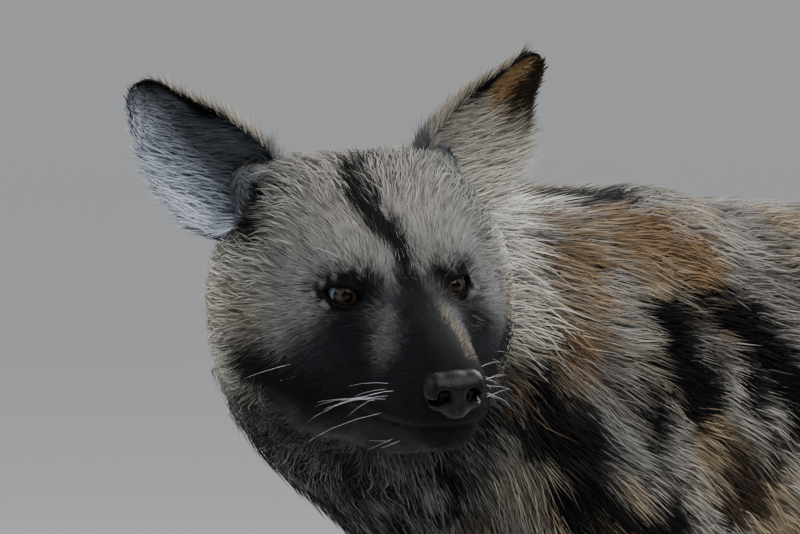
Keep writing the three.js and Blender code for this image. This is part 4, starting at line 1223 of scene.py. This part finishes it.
def add_nose():
    span = [np.arange(a, b, 0.9) for a, b in ((86, 120), (-21, 21), (-56, -22))]
    points, faces = meshed(nose_field, span, 3)
    pad = add_mesh("nose_leather", from_head(points), faces, leather)
    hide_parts("nose")


add_nose()


# Whiskers: stiff pale hairs, thickest at the root, from the spots on the upper lip, over the
# cheeks and above the eyes. Short black lashes stand along the upper lids.
WHISKER_ROWS = [  # x, side, z, count, length
    (80, 20, -40, 3, 34), (72, 23, -46, 4, 44), (62, 26, -51, 4, 50), (8, 56, -44, 3, 36),
    (14, 30, 22, 2, 26), (60, 14, -74, 3, 22),
]


def add_whiskers():
    draw = np.random.default_rng(21)
    roots, ways, lengths = [], [], []
    for x, side, z, count, length in WHISKER_ROWS:
        for s in SIDES.values():
            for k in range(count):
                jitter = draw.normal(size=3) * (2, 1, 2.5)
                roots.append(np.array([x - 6 * k, s * side, z]) + jitter)
                way = np.array([-0.75, s * 0.8, 0.7 if z > 0 else -0.2])
                ways.append(way + 0.2 * draw.normal(size=3))
                lengths.append(length * draw.uniform(0.55, 1.15))
    roots, ways, lengths = from_head(roots), unit(np.array(ways) @ HEAD_TURN.T), np.array(lengths)
    for _ in range(6):
        roots = roots - outward(roots) * (flesh(roots) + 1)[:, None]
    out = outward(roots)
    rings = []
    for share in (0, 0.3, 0.6, 0.85):
        bend = np.array([0, 0, -1.0]) * (0.16 * share**2) + out * 0.3 * (share - share**2)
        rings.append((roots + (ways * share + bend) * lengths[:, None], 1 - 0.75 * share))
    tips = roots + (ways + np.array([0, 0, -0.16])) * lengths[:, None]
    colour = np.tile(linear("#b9bac0"), (len(roots), 1)) * draw.uniform(0.7, 1, len(roots))[:, None]
    side = unit(np.cross(ways, out))
    width = np.full(len(roots), 0.34)
    whiskers = tuft_mesh("whiskers", rings, tips, side, out, width, colour, round_head(roots))


add_whiskers()


def add_lashes():
    draw = np.random.default_rng(22)
    roots, ways = [], []
    for s in SIDES.values():
        gaze, corner, up = eye_axes(s)
        for along in np.linspace(-8.5, 10.5, 34):
            share = along / SLIT_HALF
            tilt = math.radians(SLIT_TILT)
            across = SLIT_UPPER * (1 - share**2) + 0.6
            right_way = along * math.cos(tilt) - across * math.sin(tilt)
            up_way = along * math.sin(tilt) + across * math.cos(tilt)
            forward = math.sqrt(max(LID_RADIUS**2 - right_way**2 - up_way**2, 1)) - 0.6
            roots.append(eye_at(s) + corner * right_way + up * up_way + gaze * forward)
            ways.append(gaze * 0.75 + up * 0.35 + corner * (0.75 * share) + 0.1 * draw.normal(size=3))
    roots, ways = from_head(roots), unit(np.array(ways) @ HEAD_TURN.T)
    rise = np.tile(unit(HEAD_TURN @ np.array([0, 0, 1.0])), (len(roots), 1))
    lengths = draw.uniform(4.5, 7, len(roots))[:, None]
    rings = [(roots, 1.0), (roots + ways * lengths * 0.5, 0.8)]
    tips = roots + (ways + 0.45 * rise) * lengths
    side = unit(np.cross(ways, rise))
    colour = np.tile(BLACK, (len(roots), 1))
    width = np.full(len(roots), 0.45)
    lashes = tuft_mesh("lashes", rings, tips, side, rise, width, colour, round_head(roots))


add_lashes()


# Claws: blunt dark horn, four to a foot, each set in the skin at its toe's end and worn blunt on
# the ground, which leaves the horn with a dull sheen.
horn, shader = new_material("Claw horn", Roughness=0.45)
shader.inputs["Base Color"].default_value = (*linear("#2b2622"), 1)
CLAW_ROWS = [(2, 17, 3.6), (13, 17, 4.2), (20, 12.5, 3.2), (23.5, 6, 0.8)]  # x, z, radius
CLAW_SIDES = 10
CLAW_SHARE = 0.75  # a claw is flatter side to side than it is high


def add_claw(end, side, number):
    at = legs[end, side]
    across, ahead = TOES[end][number]
    run = spline([at(ahead + x, FOOT_Y[end] + across, z, r) for x, z, r in CLAW_ROWS], 5)
    ahead_way = unit(np.gradient(run[:, :3], axis=0))
    side_way = np.array([0, 1.0, 0])
    up_way = np.cross(ahead_way, side_way)
    angle = (np.arange(CLAW_SIDES) * 2 * math.pi / CLAW_SIDES)[None, :, None]
    ring = CLAW_SHARE * side_way * np.cos(angle) + up_way[:, None] * np.sin(angle)
    points = (run[:, None, :3] + run[:, 3, None, None] * ring).reshape(-1, 3)
    first, last = range(CLAW_SIDES), range(len(points) - CLAW_SIDES, len(points))
    ends = [[first[k], first[k + 1], first[-k - 2], first[-k - 1]] for k in range(4)]
    ends += [[last[-k - 1], last[-k - 2], last[k + 1], last[k]] for k in range(4)]
    faces = np.vstack([ring_faces(len(run), CLAW_SIDES), ends])
    claw = add_mesh(f"horn_{end}_{side}_{number + 1}", points, faces, horn)
    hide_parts(f"claw_{end}_{side}_{number + 1}")


for end, side in legs:
    for number in range(4):
        add_claw(end, side, number)


# Floor and backdrop: a wide bowl of matt pale paper, in which no light shows. A large soft light
# from above and ahead, weaker ones from the side and behind, and the camera at the photo's angle.
paper, shader = new_material("Backdrop paper", Roughness=0.9)
shader.inputs["Base Color"].default_value = (0.76, 0.76, 0.74, 1)
profile = [(0.001, 0), (6, 0), (13, 0), (16, 0.3), (18, 1.2), (19.3, 2.9), (20, 5.3), (20, 13)]
profile = np.array(profile) / MM
angle = np.arange(96) * 2 * math.pi / 96
out, high = profile[:, :1], profile[:, 1:]
points = np.stack([out * np.cos(angle), out * np.sin(angle), high + 0 * angle], axis=-1)
faces = ring_faces(*points.shape[:2])[:, ::-1]
floor_mesh = bpy.data.meshes.new("Backdrop")
floor_mesh.from_pydata((points.reshape(-1, 3) * MM).tolist(), [], faces.tolist())
floor_mesh.materials.append(paper)
for polygon in floor_mesh.polygons:
    polygon.use_smooth = True
backdrop = bpy.data.objects.new("backdrop", floor_mesh)
bpy.context.scene.collection.objects.link(backdrop)

VIEW_TURN, VIEW_RISE, VIEW_DISTANCE = math.radians(52), math.radians(2), 3500
PIXELS_TO_MM = 1.7  # in the photo, at the eyes
EYES_LEFT_BY, EYES_BELOW_BY = 4, 22  # pixels from the middle of the picture
back = unit(np.array([math.cos(VIEW_TURN), math.sin(VIEW_TURN), math.tan(VIEW_RISE)]))
right = unit(np.cross([0, 0, 1.0], back))
up = np.cross(back, right)
camera_data = bpy.data.cameras.new("Camera")
camera_data.lens, camera_data.sensor_width = 267.8, 36
camera = bpy.data.objects.new("Camera", camera_data)
shift = right * EYES_LEFT_BY / PIXELS_TO_MM + up * EYES_BELOW_BY / PIXELS_TO_MM
camera.location = to_row(HEAD_AT + VIEW_DISTANCE * back + shift)
camera.rotation_euler = Matrix(np.stack([right, up, back], axis=1).tolist()).to_euler()
bpy.context.scene.collection.objects.link(camera)
bpy.context.scene.camera = camera


def add_light(name, turned, rise, size, power):
    turned, rise = math.radians(turned), math.radians(rise)
    way = np.array([math.cos(turned), math.sin(turned), math.tan(rise)])
    lamp = bpy.data.lights.new(name, "AREA")
    lamp.size, lamp.energy = size, power
    holder = bpy.data.objects.new(name, lamp)
    holder.location = Vector(unit(way) * 3.4) + Vector((0, 0, 0.4))
    holder.rotation_euler = Vector(unit(way)).to_track_quat("Z", "Y").to_euler()
    bpy.context.scene.collection.objects.link(holder)


add_light("Main light", 80, 52, 3.0, 215)
add_light("Side light", -20, 30, 2.5, 60)
add_light("Back light", 200, 45, 2.5, 130)
world = bpy.data.worlds.new("Studio")
world.use_nodes = True
world.node_tree.nodes["Background"].inputs["Color"].default_value = (0.85, 0.88, 0.95, 1)
world.node_tree.nodes["Background"].inputs["Strength"].default_value = 0.6
bpy.context.scene.world = world
